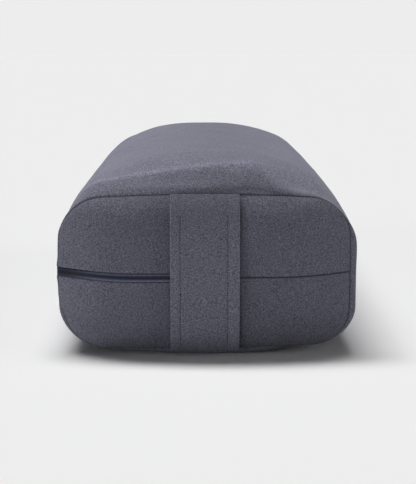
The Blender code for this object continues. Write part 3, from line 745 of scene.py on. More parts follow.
def add_wrap(suede):
    """The cover's top, sides and underside in one sheet, open along the zip."""
    points, from_front, along = wrap_grid()
    normals = outward(points)
    front = from_front[:, None]
    nearest = np.minimum(front, from_front[-1] - front)
    lip = np.minimum(along, along[-1] - along)[None, :]
    x = points[..., 0]
    z = points[..., 2]
    held = rise(nearest, HELD_RUN)
    raised = LIP_HEIGHT * bell(lip, LIP_RUN) * held - rolled(lip, LIP_ROLL, LIP_HEIGHT + SEAM_PULL)
    top = np.clip((z - TOP_FROM) / TOP_BLEND, 0, 1)
    crest = bell(front - SHOULDER_RUN, CREST_RUN) * (1 - ease(x, *CREST_END_SPAN))
    raised = raised + CREST_HEIGHT * crest * top
    free = rise(nearest, FREE_RUN) * rise(lip, FREE_RUN)
    raised = raised + UNEVEN * free * uneven(points, UNEVEN_LENGTH, WRAP_SEED)
    raised = raised + held * folds(points, from_front, along)
    pucker = uneven(points, PUCKER_LENGTH, PUCKER_SEED) * np.exp(-nearest / PUCKER_RUN)
    raised = raised + PUCKER * pucker * held
    raised = np.maximum(raised, -DEEPEST)
    floor_free = np.clip((z - FLOOR_CLEAR) / FLOOR_BLEND, 0, 1)
    raised = np.where(raised > 0, raised * floor_free, raised)
    outer = points + normals * raised[..., None]
    wall = HEM + (COVER_WALL - HEM) * ease(nearest, 0.0, HEM_RUN)
    inner = points - normals * np.maximum(wall, HEM - raised)[..., None]
    outer[..., 2] = np.maximum(outer[..., 2], 0.0)
    inner[..., 2] = np.maximum(inner[..., 2], COVER_WALL)
    vertices, faces = cloth_sheet(outer, inner)
    # Painted light and shade on the wrap, with painted shade in the creases at the zip lips
    painted_shading = wrap_painted_shading(points, front, top) * seam_painted_shade(lip)
    wrap = add_piece("cover_wrap", vertices, faces, suede, "cushion", np.stack([painted_shading, painted_shading]))
    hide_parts("cover_wrap_panel")


# End panels

def seam_radius(x, z):
    """Radius of the seam's corner in the quarter that a point lies in."""
    top_left, top_right, low_right, low_left = SEAM_RADII
    return np.where(z > 0, np.where(x < 0, top_left, top_right), np.where(x < 0, low_left, low_right))


def border_distance(x, z):
    """Distance from a point of an end panel to its border."""
    radius = seam_radius(x, z)
    qx = np.abs(x) - (HALF_WIDTH - radius)
    qz = np.abs(z) - (HALF_HEIGHT - radius)
    outside = np.hypot(np.maximum(qx, 0), np.maximum(qz, 0))
    return radius - outside - np.minimum(np.maximum(qx, qz), 0)


def border_share(x, z):
    """0 at the panel's centre and 1 on its border."""
    across = np.abs(x)
    up = np.abs(z)
    radius = seam_radius(x, z)
    flat_x = HALF_WIDTH - radius
    flat_z = HALF_HEIGHT - radius
    dot = flat_x * across + flat_z * up
    size = across ** 2 + up ** 2
    spare = flat_x ** 2 + flat_z ** 2 - radius ** 2
    root = np.sqrt(np.maximum(dot ** 2 - size * spare, 0.0))
    round_share = size / np.maximum(dot + root, 1e-9)
    share = np.where(across * HALF_HEIGHT <= up * flat_x, up / HALF_HEIGHT, round_share)
    return np.where(up * HALF_WIDTH <= across * flat_z, across / HALF_WIDTH, share)


def end_reach(x, z):
    """Distance from the middle of the length to the crowned end panel."""
    crown = END_CROWN * (1 - np.minimum(border_share(x, z), 1.0) ** END_CROWN_POWER)
    return seam_reach(x) + crown


def bulge(x, z):
    """The front panel's fullness on either side of the strap, more on the left."""
    height = np.where(x < 0, LEFT_BULGE, RIGHT_BULGE)
    share = np.clip(np.abs(np.abs(x) - BULGE_X) / BULGE_RUN, 0, 1)
    return height * (1 - share ** 2) ** 2 * (1 - np.minimum(np.abs(z) / HALF_HEIGHT, 1) ** 3)


def plain_split(x):
    """Height of the rear halves' edge: a plain seam right across."""
    return np.full_like(x, HALF_SPLIT)


def zipped_split(x):
    """Height of the front halves' edge: set back for the zip as far as the strap, then a plain seam."""
    turn = np.clip((x - ZIP_START_X) / ZIP_START_RUN, 0, 1)
    return HALF_OPENING + (HALF_SPLIT - HALF_OPENING) * turn


def side_border(radius, split):
    """Border points (x, z) on the left of a half panel, from its split round the corner."""
    flat_x = radius - HALF_WIDTH
    flat_z = HALF_HEIGHT - radius
    points = [(-HALF_WIDTH, z) for z in np.linspace(split, flat_z, BORDER_STEPS)]
    turns = np.radians(np.linspace(180, 90, BORDER_STEPS))
    return points + [(flat_x + radius * math.cos(turn), flat_z + radius * math.sin(turn)) for turn in turns]


def border_path(radii, splits):
    """Border points (x, z) of a half panel as one dense line from its left end, and the places along it."""
    left = side_border(radii[0], splits[0])
    right = [(-x, z) for x, z in side_border(radii[1], splits[1])[::-1]]
    points = np.array(left + right)
    run = np.hypot(*np.diff(points, axis=0).T)
    return points, np.concatenate([[0.0], np.cumsum(run)])


def at_place(points, places, wanted):
    """Points (x, z) at wanted distances along a border."""
    return np.stack([np.interp(wanted, places, points[:, axis]) for axis in (0, 1)], axis=-1)


def end_patch(half, split):
    """Grid (x, z) over a half panel, z away from its split: four sides, the split and three of border."""
    radii = [float(seam_radius(side, half)) for side in (-1, 1)]
    splits = split(np.array([-HALF_WIDTH, HALF_WIDTH]))
    points, places = border_path(radii, splits)
    left_run, right_run = [HALF_HEIGHT - radius - edge + radius * math.pi / 4
                           for radius, edge in zip(radii, splits)]
    total = places[-1]
    across = graded_both(2 * HALF_WIDTH, FINE_STEP, PANEL_STEP) / (2 * HALF_WIDTH)
    up = graded_both(HALF_HEIGHT, FINE_STEP, PANEL_STEP) / HALF_HEIGHT
    bottom_x = -HALF_WIDTH + 2 * HALF_WIDTH * across
    bottom = np.stack([bottom_x, split(bottom_x)], axis=-1)
    top = at_place(points, places, left_run + (total - left_run - right_run) * across)
    left = at_place(points, places, left_run * up)
    right = at_place(points, places, total - right_run * up)
    u = across[None, :, None]
    v = up[:, None, None]
    patch = (1 - v) * bottom[None] + v * top[None] + (1 - u) * left[:, None] + u * right[:, None]
    patch = patch - (1 - u) * (1 - v) * bottom[0] - u * (1 - v) * bottom[-1]
    return patch - (1 - u) * v * top[0] - u * v * top[-1]


def border_normal(x, z):
    """Outward direction in the panel's plane, square to the nearest border."""
    step = 0.0001
    slope_x = border_distance(x + step, z) - border_distance(x - step, z)
    slope_z = border_distance(x, z + step) - border_distance(x, z - step)
    size = np.maximum(np.hypot(slope_x, slope_z), 1e-9)
    return -slope_x / size, -slope_z / size


def end_surface(side, half, split, seed):
    """Outer and inner grids of half a cover end panel."""
    x, z = np.moveaxis(end_patch(half, split), -1, 0)
    edge = np.maximum(z - split(x), 0)
    z = z * half
    border = np.maximum(border_distance(x, z), 0)
    inset = seam_depth(border)
    raised = end_relief(side, x, z, edge, border, split, seed) - inset
    out_x, out_z = border_normal(x, z)
    hug = LEFT_SWELL * ease(z, HUG_LOW, HUG_HIGH) * np.where(x < 0, across_share(x) ** SWELL_POWER, 0.0)
    moved_x = x - out_x * inset - hug + side_bow(x, z)
    moved_z = z - out_z * inset
    reach = end_reach(x, z) + (bulge(x, z) if side < 0 else 0.0)
    height = MID_Z + moved_z + arch_lift(x, z) + low_tilt(x, z) + (mid_rise(x, z) if side < 0 else 0.0)
    outer = np.stack([moved_x, side * (reach + raised), height], axis=-1)
    wall = HEM + (COVER_WALL - HEM) * ease(border, 0.0, HEM_RUN)
    wall = np.maximum(wall, HEM - raised)
    inner = np.stack([moved_x, side * (reach - wall), height], axis=-1)
    return outer, inner


def end_relief(side, x, z, edge, border, split, seed):
    """How far half an end panel's cloth stands out or in: its split edge, folds, unevenness and puckers."""
    zipped = split(x) / HALF_OPENING
    plain_edge = rolled(edge, SEAM_ROLL, SEAM_ROLL_DEPTH + SPLIT_EXTRA_DEPTH)
    plain_edge = plain_edge + SEAM_PULL * np.exp(-edge / SEAM_PULL_RUN)
    zip_edge = rolled(edge, LIP_ROLL, LIP_HEIGHT + SEAM_PULL) - LIP_HEIGHT * bell(edge, LIP_RUN)
    held = rise(border, HELD_RUN)
    raised = -plain_edge * (1 - zipped) * held - zip_edge * zipped * held
    standing = np.stack([x, side * end_reach(x, z), MID_Z + z], axis=-1)
    up_places = graded_both(HALF_HEIGHT, FINE_STEP, PANEL_STEP)
    across_places = graded_both(2 * HALF_WIDTH, FINE_STEP, PANEL_STEP)
    raised = raised + held * folds(standing, up_places, across_places)
    flat = np.stack([x, np.zeros_like(x), z], axis=-1)
    raised = raised + UNEVEN * rise(border, FREE_RUN) * uneven(flat, UNEVEN_LENGTH, seed)
    raised = raised + PUCKER * held * uneven(flat, PUCKER_LENGTH, seed + 3) * np.exp(-border / PUCKER_RUN)
    raised = raised + PUCKER * held * uneven(flat, PUCKER_LENGTH, seed + 6) * np.exp(-edge / PUCKER_RUN)
    return np.maximum(raised, -DEEPEST)


def end_painted_shading(side, x, z):
    """Painted light and shade on an end panel: none on the rear; on the front, painted light on the far left,
    painted shade at the top, the bottom, the right and beside the strap, and a painted shadow along the
    strap's right edge.
    """
    if side > 0:
        return np.ones_like(x)
    left = LEFT_PAINTED_LIGHT * ease(-x, *LEFT_PAINTED_LIGHT_SPAN) - STRAP_SIDE_PAINTED_SHADE * ease(x, *STRAP_SIDE_SPAN) * (x < 0)
    upper = UPPER_PAINTED_SHADE * ease(z, *UPPER_PAINTED_SHADE_SPAN) + LOW_PAINTED_SHADE * ease(-z, *LOW_PAINTED_SHADE_SPAN)
    right = RIGHT_PAINTED_SHADE * ease(x, *RIGHT_PAINTED_SHADE_SPAN) * (1 - ease(z, *RIGHT_PAINTED_SHADE_TOP))
    strap_edge = STRAP_EDGE_PAINTED_SHADOW * bell(x - FRONT_STRAP_X - STRAP_WIDTH / 2 - STRAP_EDGE_OUT, STRAP_EDGE_RUN)
    return (1 + left - upper - right) * (1 - strap_edge)


def add_end_half(end, place, side, half, split, suede, seed):
    """The upper or lower half of an end panel."""
    outer, inner = end_surface(side, half, split, seed)
    vertices, faces = cloth_sheet(outer, inner)
    x, z = np.moveaxis(end_patch(half, split), -1, 0)
    # Painted shade along the border seam and the split edge, times the front's painted light and shade
    border_painted_shade = seam_painted_shade(np.maximum(border_distance(x, z * half), 0))
    painted_shading = border_painted_shade * seam_painted_shade(np.maximum(z - split(x), 0)) * end_painted_shading(side, x, z * half)
    panel = add_piece(end + "_end_" + place, vertices, faces, suede, "cushion", np.stack([painted_shading, painted_shading]))
    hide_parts(end + "_end_" + place + "_panel")


# Straps

def strap_back(side, z):
    """Place (y, z) of the strap's back at a height over the mid seam; its middle stands off the panel."""
    share = z / HALF_HEIGHT
    loose = GAP + STRAP_STANDOFF * (1 - share ** 2) ** 2
    return side * (end_reach(0.0, z) + GAP + loose), MID_Z + z + arch_lift(0.0, z)


def strap_profile():
    """Section (across, outwards) of the strap: folded edges, a groove under each stitch row, fuller bands."""
    half = STRAP_WIDTH / 2
    radius = STRAP_THICKNESS / 2
    turns = np.radians(np.linspace(90, -90, STRAP_EDGE_STEPS))
    across = np.arange(-half + radius, half - radius + STRAP_ACROSS_STEP / 10, STRAP_ACROSS_STEP)
    grooves = sum(bell(across - row, GROOVE_RUN) for row in STITCH_ROWS)
    from_middle = np.abs(across - sum(STITCH_ROWS) / 2)
    bands = np.clip((from_middle - SIDE_BAND_FROM) / SIDE_BAND_RISE, 0, 1)
    face = STRAP_FACE - GROOVE_DEPTH * grooves + SIDE_BAND_HEIGHT * bands
    points = list(zip(across, face))
    points += [(half - radius + radius * math.cos(t), radius + radius * math.sin(t)) for t in turns]
    points += [(x, 0.0) for x in across[::-1]]
    points += [(-half + radius - radius * math.cos(t), radius + radius * math.sin(t)) for t in turns[::-1]]
    return np.array(points)


def strap_frame(side, z):
    """Place (y, z) of the strap's back and its outward direction (y, z)."""
    y, world_z = strap_back(side, z)
    y_below, z_below = strap_back(side, z - SLOPE_STEP)
    y_above, z_above = strap_back(side, z + SLOPE_STEP)
    length = math.hypot(y_above - y_below, z_above - z_below)
    return y, world_z, side * (z_above - z_below) / length, -side * (y_above - y_below) / length


def strap_point(side, middle, across, z, out):
    """A point on a strap: across its width, up its length and outwards from its back."""
    y, world_z, out_y, out_z = strap_frame(side, z)
    return (middle + across, y + out_y * out, world_z + out_z * out)


def add_strap_half(end, side, middle, place, half, suede, thread):
    """Half a strap, from its sewn end to its middle."""
    profile = strap_profile()
    heights = np.linspace(0, half * STRAP_REACH, int(STRAP_REACH / STRAP_STEP))
    vertices = []
    for z in heights:
        wave = STRAP_WAVE * noise.noise(Vector((z * STRAP_WAVES_PER_METRE, side * 3.0, 0.5)))
        vertices += [strap_point(side, middle, across, z, out + wave) for across, out in profile]
    faces = tube_faces(len(heights), len(profile))
    # The strap is lighter than the cover, with painted light on the side bands and painted shade towards the
    # top
    bands = ease(np.abs(profile[:, 0] - sum(STITCH_ROWS) / 2), *BAND_PAINTED_LIGHT_SPAN)
    upper = STRAP_UPPER_PAINTED_SHADE * ease(heights, *STRAP_UPPER_SPAN)
    painted_shading = STRAP_LIGHTER + BAND_PAINTED_LIGHT * bands[None, :] - upper[:, None]
    strap = add_piece(end + "_strap_" + place, vertices, faces, suede, None, painted_shading)
    start = Vector(strap_point(side, middle, 0.0, half * STRAP_REACH, 0.0))
    finish = Vector(strap_point(side, middle, 0.0, 0.0, 0.0))
    finish.y = start.y
    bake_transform(strap)
    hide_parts(end + "_strap_" + place + "_end")
    if place == "lower":
        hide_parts(end + "_strap_grip")
    add_stitches(end, side, middle, place, half, thread)


def add_stitches(end, side, middle, place, half, thread):
    """The two rows of running stitch on one half of a strap."""
    last = STITCH_TOP if half > 0 else STITCH_BOTTOM
    first = STITCH_PITCH / 2
    vertices = []
    faces = []
    for row in STITCH_ROWS:
        for index in range(int((last - first) / STITCH_PITCH)):
            centre = half * (first + index * STITCH_PITCH)
            add_dash(vertices, faces, side, middle, row, centre)
    rows = add_piece(end + "_strap_" + place + "_stitching", vertices, faces, thread, None)
    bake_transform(rows)


def add_dash(vertices, faces, side, middle, row, centre):
    """One stitch: a short thread that dips into the cloth at both ends."""
    faces += tube_faces(4, THREAD_SIDES, len(vertices))
    dip = -STITCH_DIP
    for place, height, thick in ((-0.5, dip, 0.6), (-0.25, 0.0, 1.0), (0.25, 0.0, 1.0), (0.5, dip, 0.6)):
        for index in range(THREAD_SIDES):
            turn = 2 * math.pi * index / THREAD_SIDES
            across = row + STITCH_THREAD / 2 * thick * math.cos(turn)
            out = STRAP_THICKNESS - GROOVE_DEPTH + height + STITCH_THREAD / 2 * thick * math.sin(turn)
            vertices.append(strap_point(side, middle, across, centre + place * STITCH_LENGTH, out))


# Zip

def zip_line():
    """Points, outward directions and distances along the zip, from the front strap to the rear left seam."""
    across = np.arange(ZIP_START_X, -HALF_WIDTH, -ZIP_SAMPLE)
    hug = LEFT_SWELL * across_share(across) ** SWELL_POWER - side_bow(across, 0.0)
    front_y = -(end_reach(across, 0.0) + bulge(across, 0.0))
    front = np.stack([across - hug, front_y, MID_Z + mid_rise(across, 0.0)], axis=-1)
    reach = seam_reach(HALF_WIDTH)
    along = np.arange(-reach, reach - GAP, ZIP_SAMPLE)
    climb = mid_rise(-HALF_WIDTH, 0.0) * np.exp(-((along + reach) / RISE_RUN) ** 2)
    left_x = np.full_like(along, -HALF_WIDTH - LEFT_SWELL - LEFT_BOW)
    flank = np.stack([left_x, along, MID_Z + climb], axis=-1)
    points = np.concatenate([front, flank])
    window = int(ZIP_CORNER / ZIP_SAMPLE)
    padded = np.concatenate([[points[0]] * window, points, [points[-1]] * window])
    weights = np.hanning(2 * window + 1)
    weights /= weights.sum()
    points = np.stack([np.convolve(padded[:, axis], weights, mode="valid") for axis in range(3)], axis=-1)
    run = np.linalg.norm(np.diff(points, axis=0), axis=-1)
    places = np.concatenate([[0.0], np.cumsum(run)])
    forward = np.gradient(points, axis=0)
    out = np.stack([-forward[:, 1], forward[:, 0], np.zeros(len(points))], axis=-1)
    out = -out / np.linalg.norm(out, axis=-1, keepdims=True)
    return points, out, places


def zip_frame(line, wanted):
    """Point and outward direction at a distance along the zip."""
    points, out, places = line
    point = np.array([np.interp(wanted, places, points[:, axis]) for axis in range(3)])
    direction = np.array([np.interp(wanted, places, out[:, axis]) for axis in range(3)])
    return point, direction / np.linalg.norm(direction)


def zip_band(line, first, last, outline, step):
    """Vertices and faces of a band along a stretch of the zip, its outline in (outwards, height) points."""
    count = max(int((last - first) / step), 2)
    vertices = []
    for wanted in np.linspace(first, last, count):
        point, out = zip_frame(line, wanted)
        vertices += [point + out * depth + np.array([0, 0, height]) for depth, height in outline]
    return vertices, tube_faces(count, len(outline))


def zip_painted_shade(vertices, middle_painted_shade):
    """Painted shade on the zip: darker where it turns the left corner, a painted shadow under the upper lip
    and painted shade between the coils.
    """
    x, y, z = np.array(vertices).T
    height = z - MID_Z - mid_rise(x, 0.0) * (y < 0)
    corner_painted_shade = ZIP_CORNER_PAINTED_SHADE * ease(-x, *ZIP_CORNER_SPAN)
    lip_painted_shadow = ZIP_LIP_PAINTED_SHADOW * ease(height, *ZIP_LIP_SPAN)
    return (1 - corner_painted_shade) * (1 - lip_painted_shadow) * (1 - middle_painted_shade * bell(np.abs(height), COIL_MIDDLE_RUN))


def add_tape(line, place, sign, cloth):
    """A ribbed tape beside its coil; beyond the coil's rear end the two tapes close up."""
    low = sign * TAPE_INNER
    high = sign * TAPE_OUTER
    outline = [(-TAPE_BACK, low)]
    for index in range(TAPE_RIBS + 1):
        height = low + (high - low) * index / TAPE_RIBS
        outline.append((-TAPE_FACE + TAPE_RIB * (index % 2), height))
    outline.append((-TAPE_BACK, high))
    last = line[2][-1]
    vertices, faces = zip_band(line, 0.0, last, outline, ZIP_STEP)
    meet = sign * COIL_MEET
    edge = low - meet
    closing = [(-TAPE_BACK, meet), (-TAPE_FACE, meet), (-TAPE_FACE, edge), (-TAPE_BACK, edge)]
    end_vertices, end_faces = zip_band(line, last - COIL_END, last, closing, ZIP_STEP)
    faces = faces + [tuple(len(vertices) + corner for corner in face) for face in end_faces]
    vertices = vertices + end_vertices
    # Painted shade on the tape at the left corner, and a painted shadow under the upper lip
    painted_shade = zip_painted_shade(vertices, 0.0)
    tape = add_piece("zip_tape_" + place, vertices, faces, cloth, "cushion", painted_shade)
    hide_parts("zip_" + place + "_tape")


def add_coil(line, place, sign, nylon, thread):
    """Coil half: a filament loop every pitch over a flat core, with a line of chain stitch."""
    last = line[2][-1] - COIL_END
    meet = sign * COIL_MEET
    inner = sign * (COIL_INNER + COIL_CORE_BEVEL)
    outer = sign * (COIL_OUTER - COIL_CORE_BEVEL)
    core = [(-TAPE_BACK, meet), (COIL_CORE - COIL_CORE_DROP, meet), (COIL_CORE, inner), (COIL_CORE, outer),
            (-TAPE_BACK, sign * COIL_OUTER)]
    vertices, faces = zip_band(line, COIL_START, last, core, ZIP_STEP)
    core_count = len(vertices)
    stitch_vertices = []
    stitch_faces = []
    middle = (COIL_INNER + COIL_OUTER) / 2
    chain = (middle - COIL_THREAD, middle + COIL_THREAD)
    for index in range(int((last - COIL_START) / COIL_PITCH)):
        point, out = zip_frame(line, COIL_START + (index + 0.5) * COIL_PITCH)
        along = np.array([-out[1], out[0], 0.0])
        centre = point + out * COIL_CORE
        add_loop(vertices, faces, centre, out, along, sign, (COIL_INNER, COIL_OUTER), COIL_WIRE)
        centre = point + out * (COIL_CORE + COIL_WIRE * COIL_THREAD_RISE) + along * COIL_PITCH / 2
        add_loop(stitch_vertices, stitch_faces, centre, out, along, sign, chain, COIL_THREAD)
    # Painted shade between the coils and at the left corner, a painted shadow under the upper lip, and the
    # core painted dark as shade under the loops
    painted_shade = zip_painted_shade(vertices, COIL_MIDDLE_PAINTED_SHADE)
    painted_shade[:core_count] *= COIL_CORE_PAINTED_SHADE
    coil = add_piece("zip_coil_" + place, vertices, faces, nylon, "cushion", painted_shade)
    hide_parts("zip_" + place + "_coil")
    # The chain stitch gets the painted shade at the corner and the painted shadow under the lip
    painted_shade = zip_painted_shade(stitch_vertices, 0.0)
    add_piece("zip_chain_stitch_" + place, stitch_vertices, stitch_faces, thread, "cushion", painted_shade)


def add_loop(vertices, faces, centre, out, along, sign, span, radius):
    """One rounded filament lying across the zip, over a span of heights from its middle."""
    faces += tube_faces(4, THREAD_SIDES, len(vertices))
    inner, outer = span
    places = (inner, inner + radius * 0.6, outer - radius * 0.6, outer)
    for height, thick in zip(places, (0.55, 1.0, 1.0, 0.55)):
        for index in range(THREAD_SIDES):
            turn = 2 * math.pi * index / THREAD_SIDES
            point = centre + radius * thick * (math.cos(turn) * along + math.sin(turn) * out)
            vertices.append(point + np.array([0, 0, sign * height]))


def add_zip(cloth, nylon, thread):
    """Both halves of the zip's tapes and coils."""
    line = zip_line()
    for place, sign in (("upper", 1), ("lower", -1)):
        add_tape(line, place, sign, cloth)
        add_coil(line, place, sign, nylon, thread)


# Slider, pull tab and stops

def block(low, high):
    """A box between two corners, selected and active."""
    bpy.ops.object.select_all(action="DESELECT")
    centre = [(a + b) / 2 for a, b in zip(low, high)]
    bpy.ops.mesh.primitive_cube_add(size=1, location=centre)
    made = bpy.context.object
    made.scale = [abs(b - a) for a, b in zip(low, high)]
    bpy.ops.object.transform_apply(location=True, rotation=False, scale=True)
    return made


def side_block(out, length, height, shift=0.0):
    """A box on the cover's left side, between two outward distances and centred on the parked slider."""
    surface = -HALF_WIDTH - LEFT_SWELL - LEFT_BOW
    middle = seam_reach(HALF_WIDTH) - SLIDER_PARK_FROM_SEAM + shift
    low = (surface - out[1], middle - length / 2, MID_Z - height / 2)
    return block(low, (surface - out[0], middle + length / 2, MID_Z + height / 2))


def round_corners(made, radius, segments, chosen=lambda edge: True):
    """Round the edges of a box that run along X, as its corners seen from the side."""
    pick(made)
    bpy.ops.object.mode_set(mode="EDIT")
    bpy.ops.mesh.select_all(action="DESELECT")
    shape = bmesh.from_edit_mesh(made.data)
    for edge in shape.edges:
        first, second = edge.verts
        along_x = abs((first.co - second.co).x) > 0.99 * edge.calc_length()
        edge.select_set(along_x and chosen(edge))
    bmesh.update_edit_mesh(made.data)
    bpy.ops.mesh.bevel(offset=radius, segments=segments, affect="EDGES")
    bpy.ops.object.mode_set(mode="OBJECT")


def sink_face(made, direction, border, depth):
    """Inset the faces that point one way, and sink what is inside the border."""
    pick(made)
    bpy.ops.object.mode_set(mode="EDIT")
    bpy.ops.mesh.select_all(action="DESELECT")
    shape = bmesh.from_edit_mesh(made.data)
    for face in shape.faces:
        face.select_set(face.normal.dot(Vector(direction)) > 0.99)
    bmesh.update_edit_mesh(made.data)
    bpy.ops.mesh.inset(thickness=border, depth=-depth)
    bpy.ops.object.mode_set(mode="OBJECT")


def finish_modifier(made, kind, **settings):
    """Add a modifier with its settings, and apply it."""
    step = made.modifiers.new(kind.lower(), kind)
    for name, value in settings.items():
        setattr(step, name, value)
    pick(made)
    bpy.ops.object.modifier_apply(modifier=step.name)


def merge(target, helper, operation):
    """Join or cut with another box, which is used up."""
    finish_modifier(target, "BOOLEAN", object=helper, operation=operation, solver="EXACT")
    bpy.data.objects.remove(helper)


def cast(made, name, body, zinc, *nodes):
    """Finish a zip part: soft edges, outward faces, its material, its body and the nodes it stands for."""
    made.name = name
    finish_modifier(made, "BEVEL", width=METAL_ROUNDING, segments=3, limit_method="ANGLE",
                    angle_limit=math.radians(SHARP_ANGLE), harden_normals=False)
    face_out(made)
    pick(made)
    bpy.ops.object.shade_smooth_by_angle(angle=math.radians(SHARP_ANGLE))
    made.data.materials.clear()
    made.data.materials.append(zinc)
    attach(made, body)
    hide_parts(*nodes)


def add_slider(zinc):
    """Plate with a tapered nose and a stamped hollow, its back plate and web, and the pull tab's bridge."""
    plate = side_block(PLATE_OUT, *PLATE_SIZE)
    for vertex in plate.data.vertices:
        if vertex.co.y < seam_reach(HALF_WIDTH) - SLIDER_PARK_FROM_SEAM:
            vertex.co.z = MID_Z + (vertex.co.z - MID_Z) * PLATE_TAPER
    round_corners(plate, *PLATE_CORNER)
    sink_face(plate, (-1, 0, 0), *PLATE_HOLLOW)
    back = side_block(BACK_OUT, *BACK_SIZE)
    round_corners(back, *BACK_CORNER)
    merge(plate, side_block(WEB_OUT, *WEB_SIZE), "UNION")
    merge(plate, back, "UNION")
    bridge = side_block(BRIDGE_OUT, *BRIDGE_SIZE)
    reach = (BRIDGE_SIZE[0] - BRIDGE_POST) / 2
    post_out = (PLATE_OUT[0] + POST_SINK, BRIDGE_OUT[1])
    for shift in (-reach, reach):
        merge(bridge, side_block(post_out, BRIDGE_POST, BRIDGE_SIZE[1], shift), "UNION")
    merge(plate, bridge, "UNION")
    cast(plate, "zip_slider_body", "slider", zinc, "zip_slider")


def add_pull(zinc):
    """Flat pull tab: a window round the bridge, a rounded far end and a slot to grip it by."""
    out = (PIN_OUT - PULL_THICKNESS / 2, PIN_OUT + PULL_THICKNESS / 2)
    length = PULL_LENGTH + PULL_PIN / 2
    tab = side_block(out, length, PULL_WIDTH, (PULL_PIN / 2 - PULL_LENGTH) / 2)
    pin_y = seam_reach(HALF_WIDTH) - SLIDER_PARK_FROM_SEAM
    round_corners(tab, *PULL_END_CORNER, lambda edge: edge.verts[0].co.y < pin_y - PULL_LENGTH / 2)
    round_corners(tab, *PULL_PIN_CORNER, lambda edge: edge.verts[0].co.y > pin_y)
    wide = (out[0] - CUT_MARGIN, out[1] + CUT_MARGIN)
    window_length = PULL_WINDOW[0] - PULL_PIN / 2
    window = side_block(wide, window_length, PULL_WINDOW[1], -PULL_PIN / 2 - window_length / 2)
    merge(tab, window, "DIFFERENCE")
    near, far, height = PULL_SLOT
    slot = side_block(wide, far - near, height, -(near + far) / 2)
    round_corners(slot, height * SLOT_ROUNDING, SLOT_SEGMENTS)
    merge(tab, slot, "DIFFERENCE")
    cast(tab, "zip_pull", "pull", zinc, "zip_pull_tab")


def add_stops(zinc):
    """The two pressed stops at the ends of the coil."""
    shift = REAR_STOP_FROM_SEAM + STOP_LENGTH / 2 - SLIDER_PARK_FROM_SEAM
    rear = side_block((-TAPE_BACK, STOP_OUT), STOP_LENGTH, STOP_HEIGHT, -shift)
    sink_face(rear, (-1, 0, 0), *STOP_HOLLOW)
    cast(rear, "zip_rear_end_stop", "cushion", zinc, "zip_rear_stop")
    front = block(*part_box("zip_front_stop"))
    sink_face(front, (0, -1, 0), *STOP_HOLLOW)
    cast(front, "zip_front_end_stop", "cushion", zinc, "zip_front_stop")


# Materials

def linear(text):
    """A colour written as sRGB hex, as linear red, green and blue with full opacity."""
    values = [int(text[index:index + 2], 16) / 255 for index in (0, 2, 4)]
    turned = [value / 12.92 if value <= 0.04045 else ((value + 0.055) / 1.055) ** 2.4 for value in values]
    return (*turned, 1.0)


def node(tree, kind, inputs=(), **settings):
    """Add a node with its settings; each input is a value or another node's output."""
    made = tree.nodes.new(kind)
    for name, value in settings.items():
        setattr(made, name, value)
    for name, value in dict(inputs).items():
        if isinstance(value, bpy.types.NodeSocket):
            tree.links.new(value, made.inputs[name])
        else:
            made.inputs[name].default_value = value
    return made


def new_material(name, **sockets):
    """A material with its node tree and its shader, whose sockets get the values given by name."""
    made = bpy.data.materials.new(name)
    made.use_nodes = True
    tree = made.node_tree
    shader = tree.nodes["Principled BSDF"]
    for socket, value in sockets.items():
        shader.inputs[socket.replace("_", " ")].default_value = value
    return made, tree, shader


def suede_material():
    """Suede-like polyester microfibre, knitted, then sanded to a short pile: matt, mottled where the pile
    lies either way, with a faint bloom at glancing angles. Its fibres are far too fine to show, so the pile
    is drawn in tufts of about a millimetre. Painted light and shade from each vertex brightens or darkens it."""
    made, tree, shader = new_material("suede_microfibre", Roughness=0.95, Specular_IOR_Level=0.2,
                                      Sheen_Weight=0.12, Sheen_Roughness=0.5)
    place = node(tree, "ShaderNodeTexCoord").outputs["Object"]
    tufts = node(tree, "ShaderNodeTexNoise",
                 {"Vector": place, "Scale": 1 / NAP_GRAIN, "Detail": 4.0, "Roughness": 0.6})
    spread = node(tree, "ShaderNodeMapRange",
                  {"Value": tufts.outputs["Fac"], "From Min": 0.3, "From Max": 0.7})
    base = node(tree, "ShaderNodeMix",
                {"Factor": spread.outputs["Result"], 6: linear("474752"), 7: linear("9898AA")},
                data_type="RGBA")
    patch = node(tree, "ShaderNodeTexNoise", {"Vector": place, "Scale": 1 / NAP_PATCH, "Detail": 2.0})
    tint = node(tree, "ShaderNodeMapRange",
                {"Value": patch.outputs["Fac"], "From Min": 0.3, "From Max": 0.7,
                 "To Min": 0.96, "To Max": 1.04})
    patched = node(tree, "ShaderNodeHueSaturation",
                   {"Color": base.outputs[2], "Value": tint.outputs["Result"]})
    # Painted light and shade: each vertex's value brightens or darkens the colour
    painted_shading = node(tree, "ShaderNodeAttribute", attribute_name="painted_shading")
    shade = node(tree, "ShaderNodeHueSaturation",
                 {"Color": patched.outputs["Color"], "Value": painted_shading.outputs["Fac"]})
    bump = node(tree, "ShaderNodeBump", {"Height": tufts.outputs["Fac"], "Distance": NAP_DEPTH})
    tree.links.new(shade.outputs["Color"], shader.inputs["Base Color"])
    tree.links.new(bump.outputs["Normal"], shader.inputs["Normal"])
    return made


def thread_material():
    """Polyester sewing thread, spun and twisted, dyed near black: a faint gloss broken by the twist."""
    made, tree, shader = new_material("polyester_thread", Roughness=0.6)
    place = node(tree, "ShaderNodeTexCoord").outputs["Object"]
    twist = node(tree, "ShaderNodeTexNoise", {"Vector": place, "Scale": 1 / THREAD_TWIST, "Detail": 1.0})
    base = node(tree, "ShaderNodeMix",
                {"Factor": twist.outputs["Fac"], 6: linear("15151B"), 7: linear("2A2A33")}, data_type="RGBA")
    tree.links.new(base.outputs[2], shader.inputs["Base Color"])
    return made


